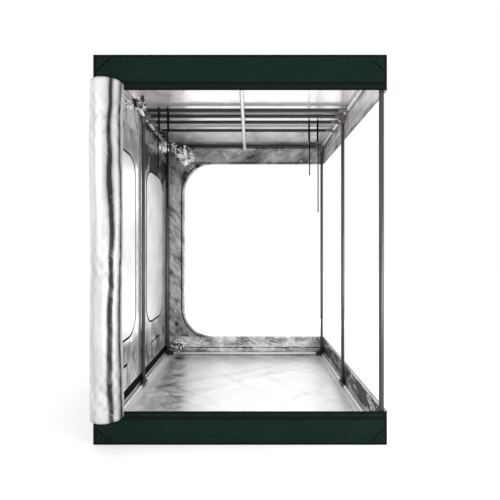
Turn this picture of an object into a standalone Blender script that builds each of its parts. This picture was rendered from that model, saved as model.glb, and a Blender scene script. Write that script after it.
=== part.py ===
"""Indoor grow tent, 1.5 x 1.5 x 2.0 m: a pole frame with push-in connectors inside a reflective cover.

Metres, +Z up, origin on the ground under the middle of the tent. The open front faces -Y.
"""

import math

import bmesh
import bpy
from mathutils import Matrix, Vector

# Cover
WIDTH = 1.5
DEPTH = 1.5
HEIGHT = 2.0
SHEET = 0.002
GAP = 0.0003
BAND_PROUD = 0.004
TOP_BAND_HEIGHT = 0.182
BASE_BAND_HEIGHT = 0.172
WALL_FOOT_HEIGHT = 0.1
BAND_EDGE_RADIUS = 0.003
ZIP_FLAP_HEIGHT = 0.024
ZIP_STRIP_HEIGHT = 0.02
ZIP_STRIP_DEPTH = 0.0015
ZIP_END_MARGIN = 0.012
OVERRUN = 0.01
WELD = 0.000004

# Poles and the sockets that they push into
POLE_RADIUS = 0.0125
POLE_WALL = 0.0012
SOCKET_WALL = 0.002
SOCKET_REACH = 0.058
SOCKET_STOP = 0.018
HUB_INSET = 0.0005
WEB_LEG = 0.05
WEB_THICKNESS = 0.005

# Joint of the two sections of an upright, with its sprung button
SECTION_JOINT_HEIGHT = 0.975
SPIGOT_LENGTH = 0.07
SPIGOT_TAPER = 0.006
BUTTON_RISE = 0.022
BUTTON_RADIUS = 0.0035
BUTTON_PROUD = 0.0028
BUTTON_DOME = 0.0015
BUTTON_FLANGE_RADIUS = 0.0048
BUTTON_FLANGE_THICKNESS = 0.001
BUTTON_LEAF_WIDTH = 0.006
BUTTON_LEAF_LENGTH = 0.03

# Pole under the roof, and the bars that lights and filters hang on
CENTRE_POLE_DROP = 0.0364
CLIP_WALL = 0.0016
CLIP_WIDTH = 0.028
CLIP_MOUTH = 0.006
HOOK_WEB_WIDTH = 0.008
BAR_SLEEVE_REACH = 0.064
BAR_DROP = 0.0068
BAR_PLACES = {"front": -0.12, "middle": 0.1, "rear": 0.28}

# Hanging cords: the route, seen from the bar, in the order of the cord
CORD_RADIUS = 0.004
CORD_BARS = {"left": "front", "right": "middle"}
CORD_INSETS = {"left": 0.163, "right": 0.247}
CORD_ROUTE = [
    (0.0, -0.0173, -0.408),
    (0.0, -0.0173, -0.27),
    (0.0, -0.0173, -0.13),
    (0.0, -0.0173, -0.026),
    (0.0, -0.0173, 0.0),
    (0.0, -0.0122, 0.0122),
    (0.0, 0.0, 0.0173),
    (0.0, 0.0122, 0.0122),
    (0.0, 0.0173, 0.0),
    (0.0, 0.0173, -0.026),
    (0.0, 0.0173, -0.1),
    (0.0, 0.0173, -0.1265),
    (0.0044, 0.0173, -0.1427),
    (0.0163, 0.0173, -0.1546),
    (0.0325, 0.0173, -0.159),
    (0.0487, 0.0173, -0.1546),
    (0.0606, 0.0173, -0.1427),
    (0.065, 0.0173, -0.1265),
    (0.065, 0.0173, -0.1),
    (0.065, 0.0173, -0.026),
    (0.065, 0.0173, 0.0),
    (0.065, 0.0122, 0.0122),
    (0.065, 0.0, 0.0173),
    (0.065, -0.0122, 0.0122),
    (0.065, -0.0173, 0.0),
    (0.065, -0.0173, -0.026),
    (0.065, -0.0173, -0.2),
    (0.065, -0.0173, -0.45),
    (0.065, -0.0173, -0.69),
]
# The drawcord of the front sleeve, seen from the middle of the sleeve's neck
DRAWCORD_RADIUS = 0.0017
DRAWCORD_ROUTE = [
    (-0.0375, -0.0545, -0.119),
    (-0.0375, -0.0545, -0.08),
    (-0.0375, -0.0545, -0.04),
    (-0.0375, -0.0548, -0.012),
    (-0.036, -0.055, 0.002),
    (-0.03, -0.052, 0.0095),
    (-0.0185, -0.0445, 0.009),
    (-0.009, -0.0335, 0.0055),
    (-0.001, -0.0239, -0.001),
    (0.001, -0.0238, -0.014),
    (0.002, -0.0245, -0.04),
    (0.005, -0.0245, -0.09),
    (0.011, -0.0245, -0.135),
    (0.021, -0.0245, -0.172),
]
CORD_STEP = 0.026
CORD_SHORT_RUN = 0.03

# Left wall: windows closed by a zip, and low vents with a flap
WINDOW_INSETS = {"front": 0.3825, "rear": 0.381}
WINDOW_LENGTH = 0.505
WINDOW_FOOT = 0.415
WINDOW_TOP_DROP = 0.36
WINDOW_CORNER = 0.15
TAPE_WIDTH = 0.01
TAPE_PROUD = 0.001
VENT_INSETS = {"front": 0.35, "rear": 0.38}
VENT_LENGTH = 0.2
VENT_FOOT = 0.125
VENT_HEIGHT = 0.13
NET_THICKNESS = 0.0008
FLAP_LAP = 0.008
FLAP_HEM = 0.014
FLAP_HEM_PROUD = 0.001
CORNER_STRIP_WIDTH = 0.036

# Back wall, with the edge of its doorway
DOORWAY_INSET = 0.178
DOORWAY_CORNER = 0.27
DOORWAY_TAPE_INSET = 0.024
DOORWAY_TIP = 0.004

# Rolled front door, sewn along the front left corner
ROLL_FOOT = 0.165
ROLL_TOP_DROP = 0.168
ROLL_INSET = 0.0975
ROLL_HALF_WIDTH = 0.0775
ROLL_HALF_DEPTH = 0.072
ROLL_HEM_INSET = 0.008
ROLL_HEM_MARGIN = 0.01
ROLL_SIDES = 36
ROLL_LEVELS = 20
# Each crease: where it is and how far it spreads, in degrees round the roll, and its depth as a share
ROLL_CREASE_SHARES = [(-60, 9, 0.13), (-25, 8, 0.12), (-118, 12, 0.035), (38, 12, 0.06)]
ROLL_CREASE_WANDER_DEGREES = 4
ROLL_WAVE_SHARES = {"waist": 0.1, "sway": 0.16, "crease": 1.5}
ROLL_WAIST_SHARE = 0.05
ROLL_SWAY = 0.0025

# Gathered duct sleeves: distance along the sleeve and radius there, as shares of its length and mouth
SLEEVE_SHAPE_SHARES = [
    (0.0, 0.92),
    (0.16, 1.0),
    (0.38, 0.97),
    (0.56, 0.66),
    (0.66, 0.4),
    (0.74, 0.42),
    (0.88, 0.72),
    (1.0, 0.8),
]
SLEEVE_PLEATS = 7
SLEEVE_PLEAT_SHARE = 0.09
SLEEVE_EMBED = 0.001
SIDE_SLEEVE_RADIUS = 0.05
SIDE_SLEEVE_LENGTH = 0.14
SIDE_SLEEVE_DROP = 0.095
SIDE_SLEEVE_INSETS = {"front": 0.35, "rear": 0.25}
BACK_SLEEVE_RADIUS = 0.062
BACK_SLEEVE_LENGTH = 0.15
BACK_SLEEVE_DROP = 0.11
BACK_SLEEVE_INSET = 0.19
LOW_SLEEVE_RADIUS = 0.05
LOW_SLEEVE_LENGTH = 0.1
LOW_SLEEVE_HEIGHT = 0.105
LOW_SLEEVE_INSET = 0.13

# Zip sliders of the front door
SLIDER_INSET = 0.055
SLIDER_LENGTH = 0.013
SLIDER_HEIGHT = 0.01
SLIDER_DEPTH = 0.005
SLIDER_TAB_LENGTH = 0.032
SLIDER_TAB_HEIGHT = 0.006
SLIDER_TAB_THICKNESS = 0.0014

ROUND_SIDES = 16
SMOOTH_DEGREES = 35
ARC_STEPS = 8
SIDES = {"left": -1, "right": 1}
ROWS = {"front": -1, "mid": 0, "rear": 1}
ENDS = {"front": -1, "rear": 1}
FRONT_LEFT_TURNS = {("left", "front"): 0, ("right", "front"): 1, ("right", "rear"): 2, ("left", "rear"): 3}

INNER_X = WIDTH / 2 - SHEET
INNER_Y = DEPTH / 2 - SHEET
OUTER_X = WIDTH / 2 + BAND_PROUD
OUTER_Y = DEPTH / 2 + BAND_PROUD
SOCKET_RADIUS = POLE_RADIUS + GAP + SOCKET_WALL
POLE_X = INNER_X - GAP - SOCKET_RADIUS
POLE_Y = INNER_Y - GAP - SOCKET_RADIUS
BASE_Z = SHEET + GAP + SOCKET_RADIUS
TOP_Z = HEIGHT - SHEET - GAP - SOCKET_RADIUS
TOP_BAND_EDGE = HEIGHT - TOP_BAND_HEIGHT
SPIGOT_RADIUS = POLE_RADIUS - POLE_WALL - GAP
CLIP_RADIUS = POLE_RADIUS + GAP + CLIP_WALL
BAR_Z = TOP_Z - BAR_DROP
WINDOW_TOP = HEIGHT - WINDOW_TOP_DROP
DOORWAY_LEFT = DOORWAY_INSET - WIDTH / 2
ROLL_TOP = HEIGHT - ROLL_TOP_DROP
ROLL_CENTRE_X = ROLL_INSET - WIDTH / 2
SIDE_SLEEVE_HEIGHT = HEIGHT - SIDE_SLEEVE_DROP
BACK_SLEEVE_HEIGHT = HEIGHT - BACK_SLEEVE_DROP
BACK_SLEEVE_X = BACK_SLEEVE_INSET - WIDTH / 2
LOW_SLEEVE_X = LOW_SLEEVE_INSET - WIDTH / 2
SLIDER_X = SLIDER_INSET - WIDTH / 2


def from_end(end, inset):
    """The place along the depth of what lies that far in from the front or the rear."""
    return ENDS[end] * (DEPTH / 2 - inset)


def clear_scene():
    for item in list(bpy.data.objects):
        bpy.data.objects.remove(item, do_unlink=True)


def finish(name, colour, roughness, metallic=0.0):
    material = bpy.data.materials.new(name)
    material.use_nodes = True
    shader = material.node_tree.nodes["Principled BSDF"]
    shader.inputs["Base Color"].default_value = (*colour, 1.0)
    shader.inputs["Roughness"].default_value = roughness
    shader.inputs["Metallic"].default_value = metallic
    material.diffuse_color = (*colour, 1.0)
    return material


def all_finishes():
    return {
        "pole": finish("pole_enamel", (0.13, 0.13, 0.135), 0.3, 0.6),
        "socket": finish("socket_enamel", (0.14, 0.125, 0.12), 0.45),
        "button": finish("button_steel", (0.6, 0.6, 0.6), 0.3, 1.0),
        "band": finish("band_cloth", (0.012, 0.027, 0.023), 0.9),
        "wall": finish("reflective_cloth", (0.78, 0.77, 0.77), 0.35, 0.5),
        "floor": finish("floor_cloth", (0.8, 0.8, 0.8), 0.4, 0.4),
        "cord": finish("black_cord", (0.01, 0.01, 0.01), 0.8),
        "slider": finish("black_slider", (0.02, 0.02, 0.02), 0.4, 0.5),
    }


def mesh_of(name, points, faces):
    mesh = bpy.data.meshes.new(name)
    mesh.from_pydata([tuple(point) for point in points], [], faces)
    mesh.update()
    return mesh


def new_object(name, mesh, material=None, smooth=False):
    item = bpy.data.objects.new(name, mesh)
    bpy.context.scene.collection.objects.link(item)
    if material is not None:
        mesh.materials.clear()
        mesh.materials.append(material)
    if smooth:
        mesh.shade_smooth()
        mesh.set_sharp_from_angle(angle=math.radians(SMOOTH_DEGREES))
    return item


def guide(mesh):
    """An object that only shapes others: drawn as wires and never rendered."""
    item = new_object("guide_" + mesh.name, mesh)
    item.hide_render = True
    item.display_type = "WIRE"
    return item


def box_mesh(name, low, high):
    (x0, y0, z0), (x1, y1, z1) = low, high
    points = [(x, y, z) for z in (z0, z1) for x, y in ((x0, y0), (x1, y0), (x1, y1), (x0, y1))]
    faces = [(3, 2, 1, 0), (4, 5, 6, 7), (0, 1, 5, 4), (1, 2, 6, 5), (2, 3, 7, 6), (3, 0, 4, 7)]
    return mesh_of(name, points, faces)


def turned_mesh(name, profile, sides=ROUND_SIDES):
    """A profile of (radius, height) turned about +Z, as a ring, or as a solid if it starts on the axis."""
    open_ended = profile[0][0] == 0
    rings = profile[1:-1] if open_ended else profile
    points = [
        (radius * math.cos(math.tau * i / sides), radius * math.sin(math.tau * i / sides), height)
        for radius, height in rings
        for i in range(sides)
    ]
    spans = range(len(rings) - 1) if open_ended else range(len(rings))
    faces = []
    for j in spans:
        a = j * sides
        b = (j + 1) % len(rings) * sides
        for i in range(sides):
            n = (i + 1) % sides
            faces.append((a + i, a + n, b + n, b + i))
    if open_ended:
        last = (len(rings) - 1) * sides
        points.append((0, 0, profile[0][1]))
        points.append((0, 0, profile[-1][1]))
        faces += [(len(points) - 2, (i + 1) % sides, i) for i in range(sides)]
        faces += [(len(points) - 1, last + i, last + (i + 1) % sides) for i in range(sides)]
    return mesh_of(name, points, faces)


def rod_mesh(name, radius, start, end):
    return turned_mesh(name, [(0, start), (radius, start), (radius, end), (0, end)])


def tube_mesh(name, length):
    bore = POLE_RADIUS - POLE_WALL
    return turned_mesh(name, [(POLE_RADIUS, 0), (POLE_RADIUS, length), (bore, length), (bore, 0)])


def extruded_mesh(name, outline, thickness):
    """An outline in the XY plane, anticlockwise, made thick along +Z."""
    form = bmesh.new()
    face = form.faces.new([form.verts.new((x, y, 0)) for x, y in outline])
    made = bmesh.ops.extrude_face_region(form, geom=[face])
    raised = [v for v in made["geom"] if isinstance(v, bmesh.types.BMVert)]
    bmesh.ops.translate(form, vec=(0, 0, thickness), verts=raised)
    bmesh.ops.recalc_face_normals(form, faces=form.faces)
    mesh = bpy.data.meshes.new(name)
    form.to_mesh(mesh)
    form.free()
    return mesh


def turned_to(direction):
    return Vector(direction).to_track_quat("Z", "Y").to_matrix().to_4x4()


def moved(mesh, matrix):
    mesh.transform(matrix)
    return mesh


def shaped(name, body, added=(), cut=()):
    """One mesh from a body with others united to it and then others taken away."""
    carrier = guide(body)
    helpers = [(guide(mesh), "UNION") for mesh in added] + [(guide(mesh), "DIFFERENCE") for mesh in cut]
    for helper, operation in helpers:
        change = carrier.modifiers.new(operation.lower(), "BOOLEAN")
        change.operation = operation
        change.solver = "MANIFOLD"
        change.object = helper
    graph = bpy.context.evaluated_depsgraph_get()
    mesh = bpy.data.meshes.new_from_object(carrier.evaluated_get(graph))
    mesh.name = name
    close_cracks(mesh)
    for item in [carrier] + [helper for helper, _ in helpers]:
        bpy.data.objects.remove(item, do_unlink=True)
    return mesh


def close_cracks(mesh):
    """Joins the pairs of points that a cut leaves in one place."""
    form = bmesh.new()
    form.from_mesh(mesh)
    bmesh.ops.remove_doubles(form, verts=form.verts, dist=WELD)
    bmesh.ops.dissolve_degenerate(form, edges=form.edges, dist=WELD)
    form.to_mesh(mesh)
    form.free()


def cut_by(item, cutter):
    change = item.modifiers.new("cut", "BOOLEAN")
    change.operation = "DIFFERENCE"
    change.solver = "EXACT"
    change.object = cutter


def rounded_outline(low, high, radius):
    """A rectangle with round corners, anticlockwise from its lower right corner."""
    (x0, y0), (x1, y1) = low, high
    centres = [
        (x1 - radius, y0 + radius, -90),
        (x1 - radius, y1 - radius, 0),
        (x0 + radius, y1 - radius, 90),
        (x0 + radius, y0 + radius, 180),
    ]
    return [
        (
            x + radius * math.cos(math.radians(start + 90 * i / ARC_STEPS)),
            y + radius * math.sin(math.radians(start + 90 * i / ARC_STEPS)),
        )
        for x, y, start in centres
        for i in range(ARC_STEPS + 1)
    ]


# Frame


def connector_mesh(name, legs, through, webs):
    """Sockets that leave a hub, or run through it, with a plate across each named pair."""
    half = SOCKET_RADIUS - HUB_INSET
    reaches = [(leg, 0) for leg in legs] + [(leg, -SOCKET_REACH) for leg in through]
    sockets = [
        moved(rod_mesh("socket", SOCKET_RADIUS, start, SOCKET_REACH), turned_to(leg))
        for leg, start in reaches
    ]
    both_ways = legs + through + [tuple(-part for part in leg) for leg in through]
    bores = [
        moved(rod_mesh("bore", POLE_RADIUS + GAP, SOCKET_STOP, SOCKET_REACH + OVERRUN), turned_to(leg))
        for leg in both_ways
    ]
    plates = [web_mesh(Vector(first), Vector(second), second in through) for first, second in webs]
    hub = box_mesh("hub", (-half, -half, -half), (half, half, half))
    return shaped(name, hub, sockets + plates, bores)


def web_mesh(first, second, both_sides):
    """A three-cornered plate along two legs, or along both halves of the second."""
    outline = [(0, -WEB_LEG if both_sides else 0), (WEB_LEG, 0), (0, WEB_LEG)]
    mesh = extruded_mesh("web", outline, WEB_THICKNESS)
    moved(mesh, Matrix.Translation((0, 0, -WEB_THICKNESS / 2)))
    turn = Matrix((first, second, first.cross(second))).transposed().to_4x4()
    return moved(mesh, turn)


def add_connectors(material):
    inward_x, along_y, down, up = (1, 0, 0), (0, 1, 0), (0, 0, -1), (0, 0, 1)
    corner_webs = [(inward_x, along_y), (along_y, down), (down, inward_x)]
    corner = connector_mesh("corner", [inward_x, along_y, down], [], corner_webs)
    top_tee = connector_mesh("top_tee", [inward_x, down], [along_y], [(down, inward_x), (down, along_y)])
    base_tee = connector_mesh("base_tee", [up], [along_y], [(up, along_y)])
    quarter = math.pi / 2
    for side, sx in SIDES.items():
        for end, sy in ENDS.items():
            turns = FRONT_LEFT_TURNS[(side, end)]
            item = new_object(f"top_corner_{end}_{side}", corner, material, True)
            item.location = (sx * POLE_X, sy * POLE_Y, TOP_Z)
            item.rotation_euler = (0, 0, turns * quarter)
            item = new_object(f"base_corner_{end}_{side}", corner, material, True)
            item.location = (sx * POLE_X, sy * POLE_Y, BASE_Z)
            item.rotation_euler = (math.pi, 0, (turns + 1) * quarter)
        half_turn = 0 if side == "left" else math.pi
        for name, mesh, height in (("top_tee", top_tee, TOP_Z), ("base_tee", base_tee, BASE_Z)):
            item = new_object(f"{name}_{side}", mesh, material, True)
            item.location = (sx * POLE_X, 0, height)
            item.rotation_euler = (0, 0, half_turn)


def add_pole(name, start, end, material):
    """A tube between two socket centres, its ends just clear of the sockets' stops."""
    start, end = Vector(start), Vector(end)
    run = end - start
    inset = SOCKET_STOP + GAP
    item = new_object(name, tube_mesh(name, run.length - 2 * inset), material, True)
    item.location = start + run.normalized() * inset
    item.rotation_euler = run.to_track_quat("Z", "Y").to_euler()
    return item


def add_poles(material):
    for level, height in (("top", TOP_Z), ("base", BASE_Z)):
        for end, sy in ENDS.items():
            y = sy * POLE_Y
            add_pole(f"{level}_pole_{end}", (-POLE_X, y, height), (POLE_X, y, height), material)
        for side, sx in SIDES.items():
            x = sx * POLE_X
            for end, sy in ENDS.items():
                add_pole(f"{level}_rail_{end}_{side}", (x, 0, height), (x, sy * POLE_Y, height), material)
    add_pole("crossbar", (-POLE_X, 0, TOP_Z), (POLE_X, 0, TOP_Z), material)


def lower_section_mesh():
    length = SECTION_JOINT_HEIGHT - BASE_Z - SOCKET_STOP - GAP
    bore = POLE_RADIUS - POLE_WALL
    spigot_bore = SPIGOT_RADIUS - POLE_WALL
    profile = [
        (POLE_RADIUS, 0),
        (POLE_RADIUS, length),
        (SPIGOT_RADIUS, length),
        (SPIGOT_RADIUS, length + SPIGOT_LENGTH),
        (spigot_bore, length + SPIGOT_LENGTH),
        (spigot_bore, length - SPIGOT_TAPER),
        (bore, length - 2 * SPIGOT_TAPER),
        (bore, 0),
    ]
    return turned_mesh("upright_lower", profile)


def button_mesh():
    """Domed pin, flange and leaf, along +Z from the pole's axis."""
    spigot_bore = SPIGOT_RADIUS - POLE_WALL
    seat = math.sqrt(spigot_bore**2 - BUTTON_FLANGE_RADIUS**2) - GAP
    foot = seat - BUTTON_FLANGE_THICKNESS
    tip = POLE_RADIUS + BUTTON_PROUD
    rim = BUTTON_RADIUS * math.cos(math.pi / 4)
    pin = turned_mesh(
        "pin",
        [
            (0, foot),
            (BUTTON_FLANGE_RADIUS, foot),
            (BUTTON_FLANGE_RADIUS, seat),
            (BUTTON_RADIUS, seat),
            (BUTTON_RADIUS, tip - BUTTON_DOME),
            (rim, tip - BUTTON_DOME * (1 - math.sin(math.pi / 4))),
            (0, tip),
        ],
        ROUND_SIDES,
    )
    half = BUTTON_LEAF_WIDTH / 2
    leaf_top = seat - BUTTON_FLANGE_THICKNESS / 4
    leaf_foot = leaf_top - BUTTON_FLANGE_THICKNESS / 2
    leaf = box_mesh("leaf", (-half, -BUTTON_LEAF_LENGTH, leaf_foot), (half, 0, leaf_top))
    return shaped("snap_button", pin, [leaf])


def add_uprights(pole_material, button_material):
    lower = lower_section_mesh()
    upper = tube_mesh("upright_upper", TOP_Z - SOCKET_STOP - GAP - SECTION_JOINT_HEIGHT - GAP)
    button = button_mesh()
    button_height = SECTION_JOINT_HEIGHT + BUTTON_RISE
    for side, sx in SIDES.items():
        for row, sy in ROWS.items():
            x, y = sx * POLE_X, sy * POLE_Y
            place = Matrix.Translation((x, y, button_height)) @ button_turn(sx)
            hole = rod_mesh("button_hole", BUTTON_RADIUS + GAP, 0, POLE_RADIUS + OVERRUN)
            drill = guide(moved(hole, place))
            item = new_object(f"upright_lower_{row}_{side}", lower, pole_material, True)
            item.location = (x, y, BASE_Z + SOCKET_STOP + GAP)
            cut_by(item, drill)
            item = new_object(f"upright_upper_{row}_{side}", upper, pole_material, True)
            item.location = (x, y, SECTION_JOINT_HEIGHT + GAP)
            cut_by(item, drill)
            item = new_object(f"snap_button_{row}_{side}", button, button_material, True)
            item.matrix_world = place


def button_turn(sx):
    """Turns a button's +Z to face the middle of the tent, with its leaf pointing down."""
    face = Vector((-sx, 0, 0))
    up = Vector((0, 0, 1))
    return Matrix((up.cross(face), up, face)).transposed().to_4x4()


def clip_parts(reach):
    """Solids of one snap clip that holds a pole along Y, and of the sleeve that leaves it along +X."""
    ring = moved(rod_mesh("ring", CLIP_RADIUS, -CLIP_WIDTH / 2, CLIP_WIDTH / 2), turned_to((0, 1, 0)))
    sleeve = moved(rod_mesh("sleeve", SOCKET_RADIUS, 0, reach), turned_to((1, 0, 0)))
    far = SOCKET_RADIUS + OVERRUN
    hold = moved(rod_mesh("hold", POLE_RADIUS + GAP, -far, far), turned_to((0, 1, 0)))
    rise = CLIP_RADIUS + GAP
    mouth = box_mesh("mouth", (-far, -far, -rise), (-CLIP_MOUTH, far, rise))
    return ring, sleeve, hold, mouth


def hanging_bar_mesh():
    """A bar along X that hangs a little below two rails, with a clip and sleeve at each end."""
    added, cut = [], []
    for sx in SIDES.values():
        turn = Matrix.Rotation(0 if sx < 0 else math.pi, 4, "Z")
        at_rail = Matrix.Translation((sx * POLE_X, 0, BAR_DROP)) @ turn
        at_end = Matrix.Translation((sx * POLE_X, 0, 0)) @ turn
        ring, sleeve, hold, mouth = clip_parts(BAR_SLEEVE_REACH)
        added += [moved(ring, at_rail), moved(sleeve, at_end)]
        cut += [moved(hold, at_rail), moved(mouth, at_rail)]
    end = POLE_X - SOCKET_STOP
    bar = moved(rod_mesh("bar", POLE_RADIUS, -end, end), turned_to((1, 0, 0)))
    bore = moved(rod_mesh("bore", POLE_RADIUS - POLE_WALL, -POLE_X, POLE_X), turned_to((1, 0, 0)))
    return shaped("hanging_bar", bar, added, [bore] + cut)


def add_hanging_bars(material):
    mesh = hanging_bar_mesh()
    for place, y in BAR_PLACES.items():
        item = new_object(f"hanging_bar_{place}", mesh, material, True)
        item.location = (0, y, BAR_Z)


def add_centre_pole(material):
    """The pole under the roof, hooked over the front and rear top poles."""
    added, cut = [], []
    half_web = HOOK_WEB_WIDTH / 2
    for sy in ENDS.values():
        turn = Matrix.Rotation(math.pi / 2 if sy < 0 else -math.pi / 2, 4, "Z")
        at_pole = Matrix.Translation((0, sy * POLE_Y, CENTRE_POLE_DROP)) @ turn
        at_end = Matrix.Translation((0, sy * POLE_Y, 0)) @ turn
        ring, sleeve, hold, mouth = clip_parts(BAR_SLEEVE_REACH)
        web_top = CENTRE_POLE_DROP - POLE_RADIUS
        web = box_mesh("web", (-half_web, -half_web, 0), (SOCKET_RADIUS, half_web, web_top))
        added += [moved(ring, at_pole), moved(sleeve, at_end), moved(web, at_end)]
        cut += [moved(hold, at_pole), moved(mouth, at_pole)]
    end = POLE_Y - SOCKET_STOP
    far = POLE_Y + OVERRUN
    bar = moved(rod_mesh("bar", POLE_RADIUS, -end, end), turned_to((0, 1, 0)))
    bore = moved(rod_mesh("bore", POLE_RADIUS - POLE_WALL, -far, far), turned_to((0, 1, 0)))
    mesh = shaped("centre_pole", bar, added, [bore] + cut)
    item = new_object("centre_pole", mesh, material, True)
    item.location = (0, 0, TOP_Z - CENTRE_POLE_DROP)


# Cords


def smooth_points(route):
    """Points along a Catmull-Rom curve through the route, closer together on short runs."""
    points = [Vector(point) for point in route]
    made = [points[0]]
    for i in range(len(points) - 1):
        start, end = points[i], points[i + 1]
        before = points[i - 1] if i else start
        after = points[i + 2] if i + 2 < len(points) else end
        run = (end - start).length
        steps = 2 if run < CORD_SHORT_RUN else math.ceil(run / CORD_STEP)
        for step in range(1, steps + 1):
            t = step / steps
            made.append(
                0.5
                * (
                    2 * start
                    + (end - before) * t
                    + (2 * before - 5 * start + 4 * end - after) * t**2
                    + (3 * start - before - 3 * end + after) * t**3
                )
            )
    return made


def add_cord(name, points, radius, material):
    curve = bpy.data.curves.new(name, "CURVE")
    curve.dimensions = "3D"
    curve.bevel_depth = radius
    curve.bevel_resolution = 2
    curve.use_fill_caps = True
    spline = curve.splines.new("POLY")
    spline.points.add(len(points) - 1)
    for place, point in zip(spline.points, points):
        place.co = (*point, 1.0)
    curve.materials.append(material)
    item = bpy.data.objects.new(name, curve)
    bpy.context.scene.collection.objects.link(item)
    return item


def add_hanging_cords(material):
    for side, sx in SIDES.items():
        item = add_cord(f"hanging_cord_{side}", smooth_points(CORD_ROUTE), CORD_RADIUS, material)
        item.location = (sx * (WIDTH / 2 - CORD_INSETS[side]), BAR_PLACES[CORD_BARS[side]], BAR_Z)


def add_sleeve_drawcord(material):
    """The cord that ties the front sleeve: its two ends hang from the knot at the neck."""
    item = add_cord("sleeve_drawcord", smooth_points(DRAWCORD_ROUTE), DRAWCORD_RADIUS, material)
    neck = min(SLEEVE_SHAPE_SHARES, key=lambda shares: shares[1])[0] * SIDE_SLEEVE_LENGTH
    item.location = (neck - INNER_X, from_end("front", SIDE_SLEEVE_INSETS["front"]), SIDE_SLEEVE_HEIGHT)


# Cover


def band_mesh(name, foot, top, open_top):
    """The solid outside of a band, its outer edges rounded except those at its open side."""
    form = bmesh.new()
    form.from_mesh(box_mesh("outside", (-OUTER_X, -OUTER_Y, foot), (OUTER_X, OUTER_Y, top)))
    flat = top if open_top else foot
    edges = [edge for edge in form.edges if any(abs(v.co.z - flat) > GAP for v in edge.verts)]
    bmesh.ops.bevel(form, geom=edges, offset=BAND_EDGE_RADIUS, segments=2, affect="EDGES", profile=0.5)
    mesh = bpy.data.meshes.new(name)
    form.to_mesh(mesh)
    form.free()
    return mesh


def zip_grooves(low, high):
    """Cutters for the zip strip along the front, right and back of a band."""
    run_x = OUTER_X - ZIP_END_MARGIN
    run_y = OUTER_Y - ZIP_END_MARGIN
    face_x = OUTER_X - ZIP_STRIP_DEPTH
    face_y = OUTER_Y - ZIP_STRIP_DEPTH
    far_x = OUTER_X + OVERRUN
    far_y = OUTER_Y + OVERRUN
    return [
        box_mesh("front_zip", (-run_x, -far_y, low), (run_x, -face_y, high)),
        box_mesh("back_zip", (-run_x, face_y, low), (run_x, far_y, high)),
        box_mesh("right_zip", (face_x, -run_y, low), (far_x, run_y, high)),
    ]


def sleeve_mesh(radius, length):
    """A gathered sleeve along +Z, pleated, cinched at its neck and flared at its mouth."""
    sides = 2 * SLEEVE_PLEATS
    rings = SLEEVE_SHAPE_SHARES
    points = []
    for along, across in rings:
        for i in range(sides):
            pleat = 1 + SLEEVE_PLEAT_SHARE * (1 if i % 2 else -1) * along
            reach = radius * across * pleat
            angle = math.tau * i / sides
            points.append((reach * math.cos(angle), reach * math.sin(angle), length * along))
    faces = [tuple(reversed(range(sides))), tuple(range((len(rings) - 1) * sides, len(rings) * sides))]
    for j in range(len(rings) - 1):
        for i in range(sides):
            n = (i + 1) % sides
            faces.append((j * sides + i, j * sides + n, (j + 1) * sides + n, (j + 1) * sides + i))
    return mesh_of("sleeve", points, faces)


def placed_sleeve(radius, length, location, direction):
    mesh = sleeve_mesh(radius, length)
    start = Vector(location) - Vector(direction) * SLEEVE_EMBED
    return moved(mesh, Matrix.Translation(start) @ turned_to(direction))


def add_roof_cap(material):
    strip_foot = TOP_BAND_EDGE + ZIP_FLAP_HEIGHT
    outside = band_mesh("roof_cap", TOP_BAND_EDGE, HEIGHT, False)
    hollow_foot = TOP_BAND_EDGE - OVERRUN
    hollow = box_mesh("hollow", (-INNER_X, -INNER_Y, hollow_foot), (INNER_X, INNER_Y, HEIGHT - SHEET))
    body = shaped("roof_cap", outside, [], [hollow] + zip_grooves(strip_foot, strip_foot + ZIP_STRIP_HEIGHT))
    sides = [(-INNER_X, from_end(*place), SIDE_SLEEVE_HEIGHT) for place in SIDE_SLEEVE_INSETS.items()]
    sleeves = [placed_sleeve(SIDE_SLEEVE_RADIUS, SIDE_SLEEVE_LENGTH, side, (1, 0, 0)) for side in sides]
    back = (BACK_SLEEVE_X, INNER_Y, BACK_SLEEVE_HEIGHT)
    sleeves.append(placed_sleeve(BACK_SLEEVE_RADIUS, BACK_SLEEVE_LENGTH, back, (0, -1, 0)))
    new_object("roof_cap", shaped("roof_cap", body, sleeves), material)


def add_base_band(material):
    strip_foot = BASE_BAND_HEIGHT - ZIP_FLAP_HEIGHT - ZIP_STRIP_HEIGHT
    outside = band_mesh("base_band", 0, BASE_BAND_HEIGHT, True)
    hollow_top = BASE_BAND_HEIGHT + OVERRUN
    hollow = box_mesh("hollow", (-INNER_X, -INNER_Y, -OVERRUN), (INNER_X, INNER_Y, hollow_top))
    low_side = box_mesh(
        "low_side",
        (-OUTER_X - OVERRUN, -INNER_Y, WALL_FOOT_HEIGHT),
        (0, INNER_Y, hollow_top),
    )
    cuts = [hollow, low_side] + zip_grooves(strip_foot, strip_foot + ZIP_STRIP_HEIGHT)
    low = (LOW_SLEEVE_X, INNER_Y, LOW_SLEEVE_HEIGHT)
    sleeve = placed_sleeve(LOW_SLEEVE_RADIUS, LOW_SLEEVE_LENGTH, low, (0, -1, 0))
    body = shaped("base_band", outside, [], cuts)
    new_object("base_band", shaped("base_band", body, [sleeve]), material)


def add_floor(material):
    x, y = INNER_X - GAP, INNER_Y - GAP
    new_object("floor_sheet", box_mesh("floor_sheet", (-x, -y, 0), (x, y, SHEET)), material)


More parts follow.
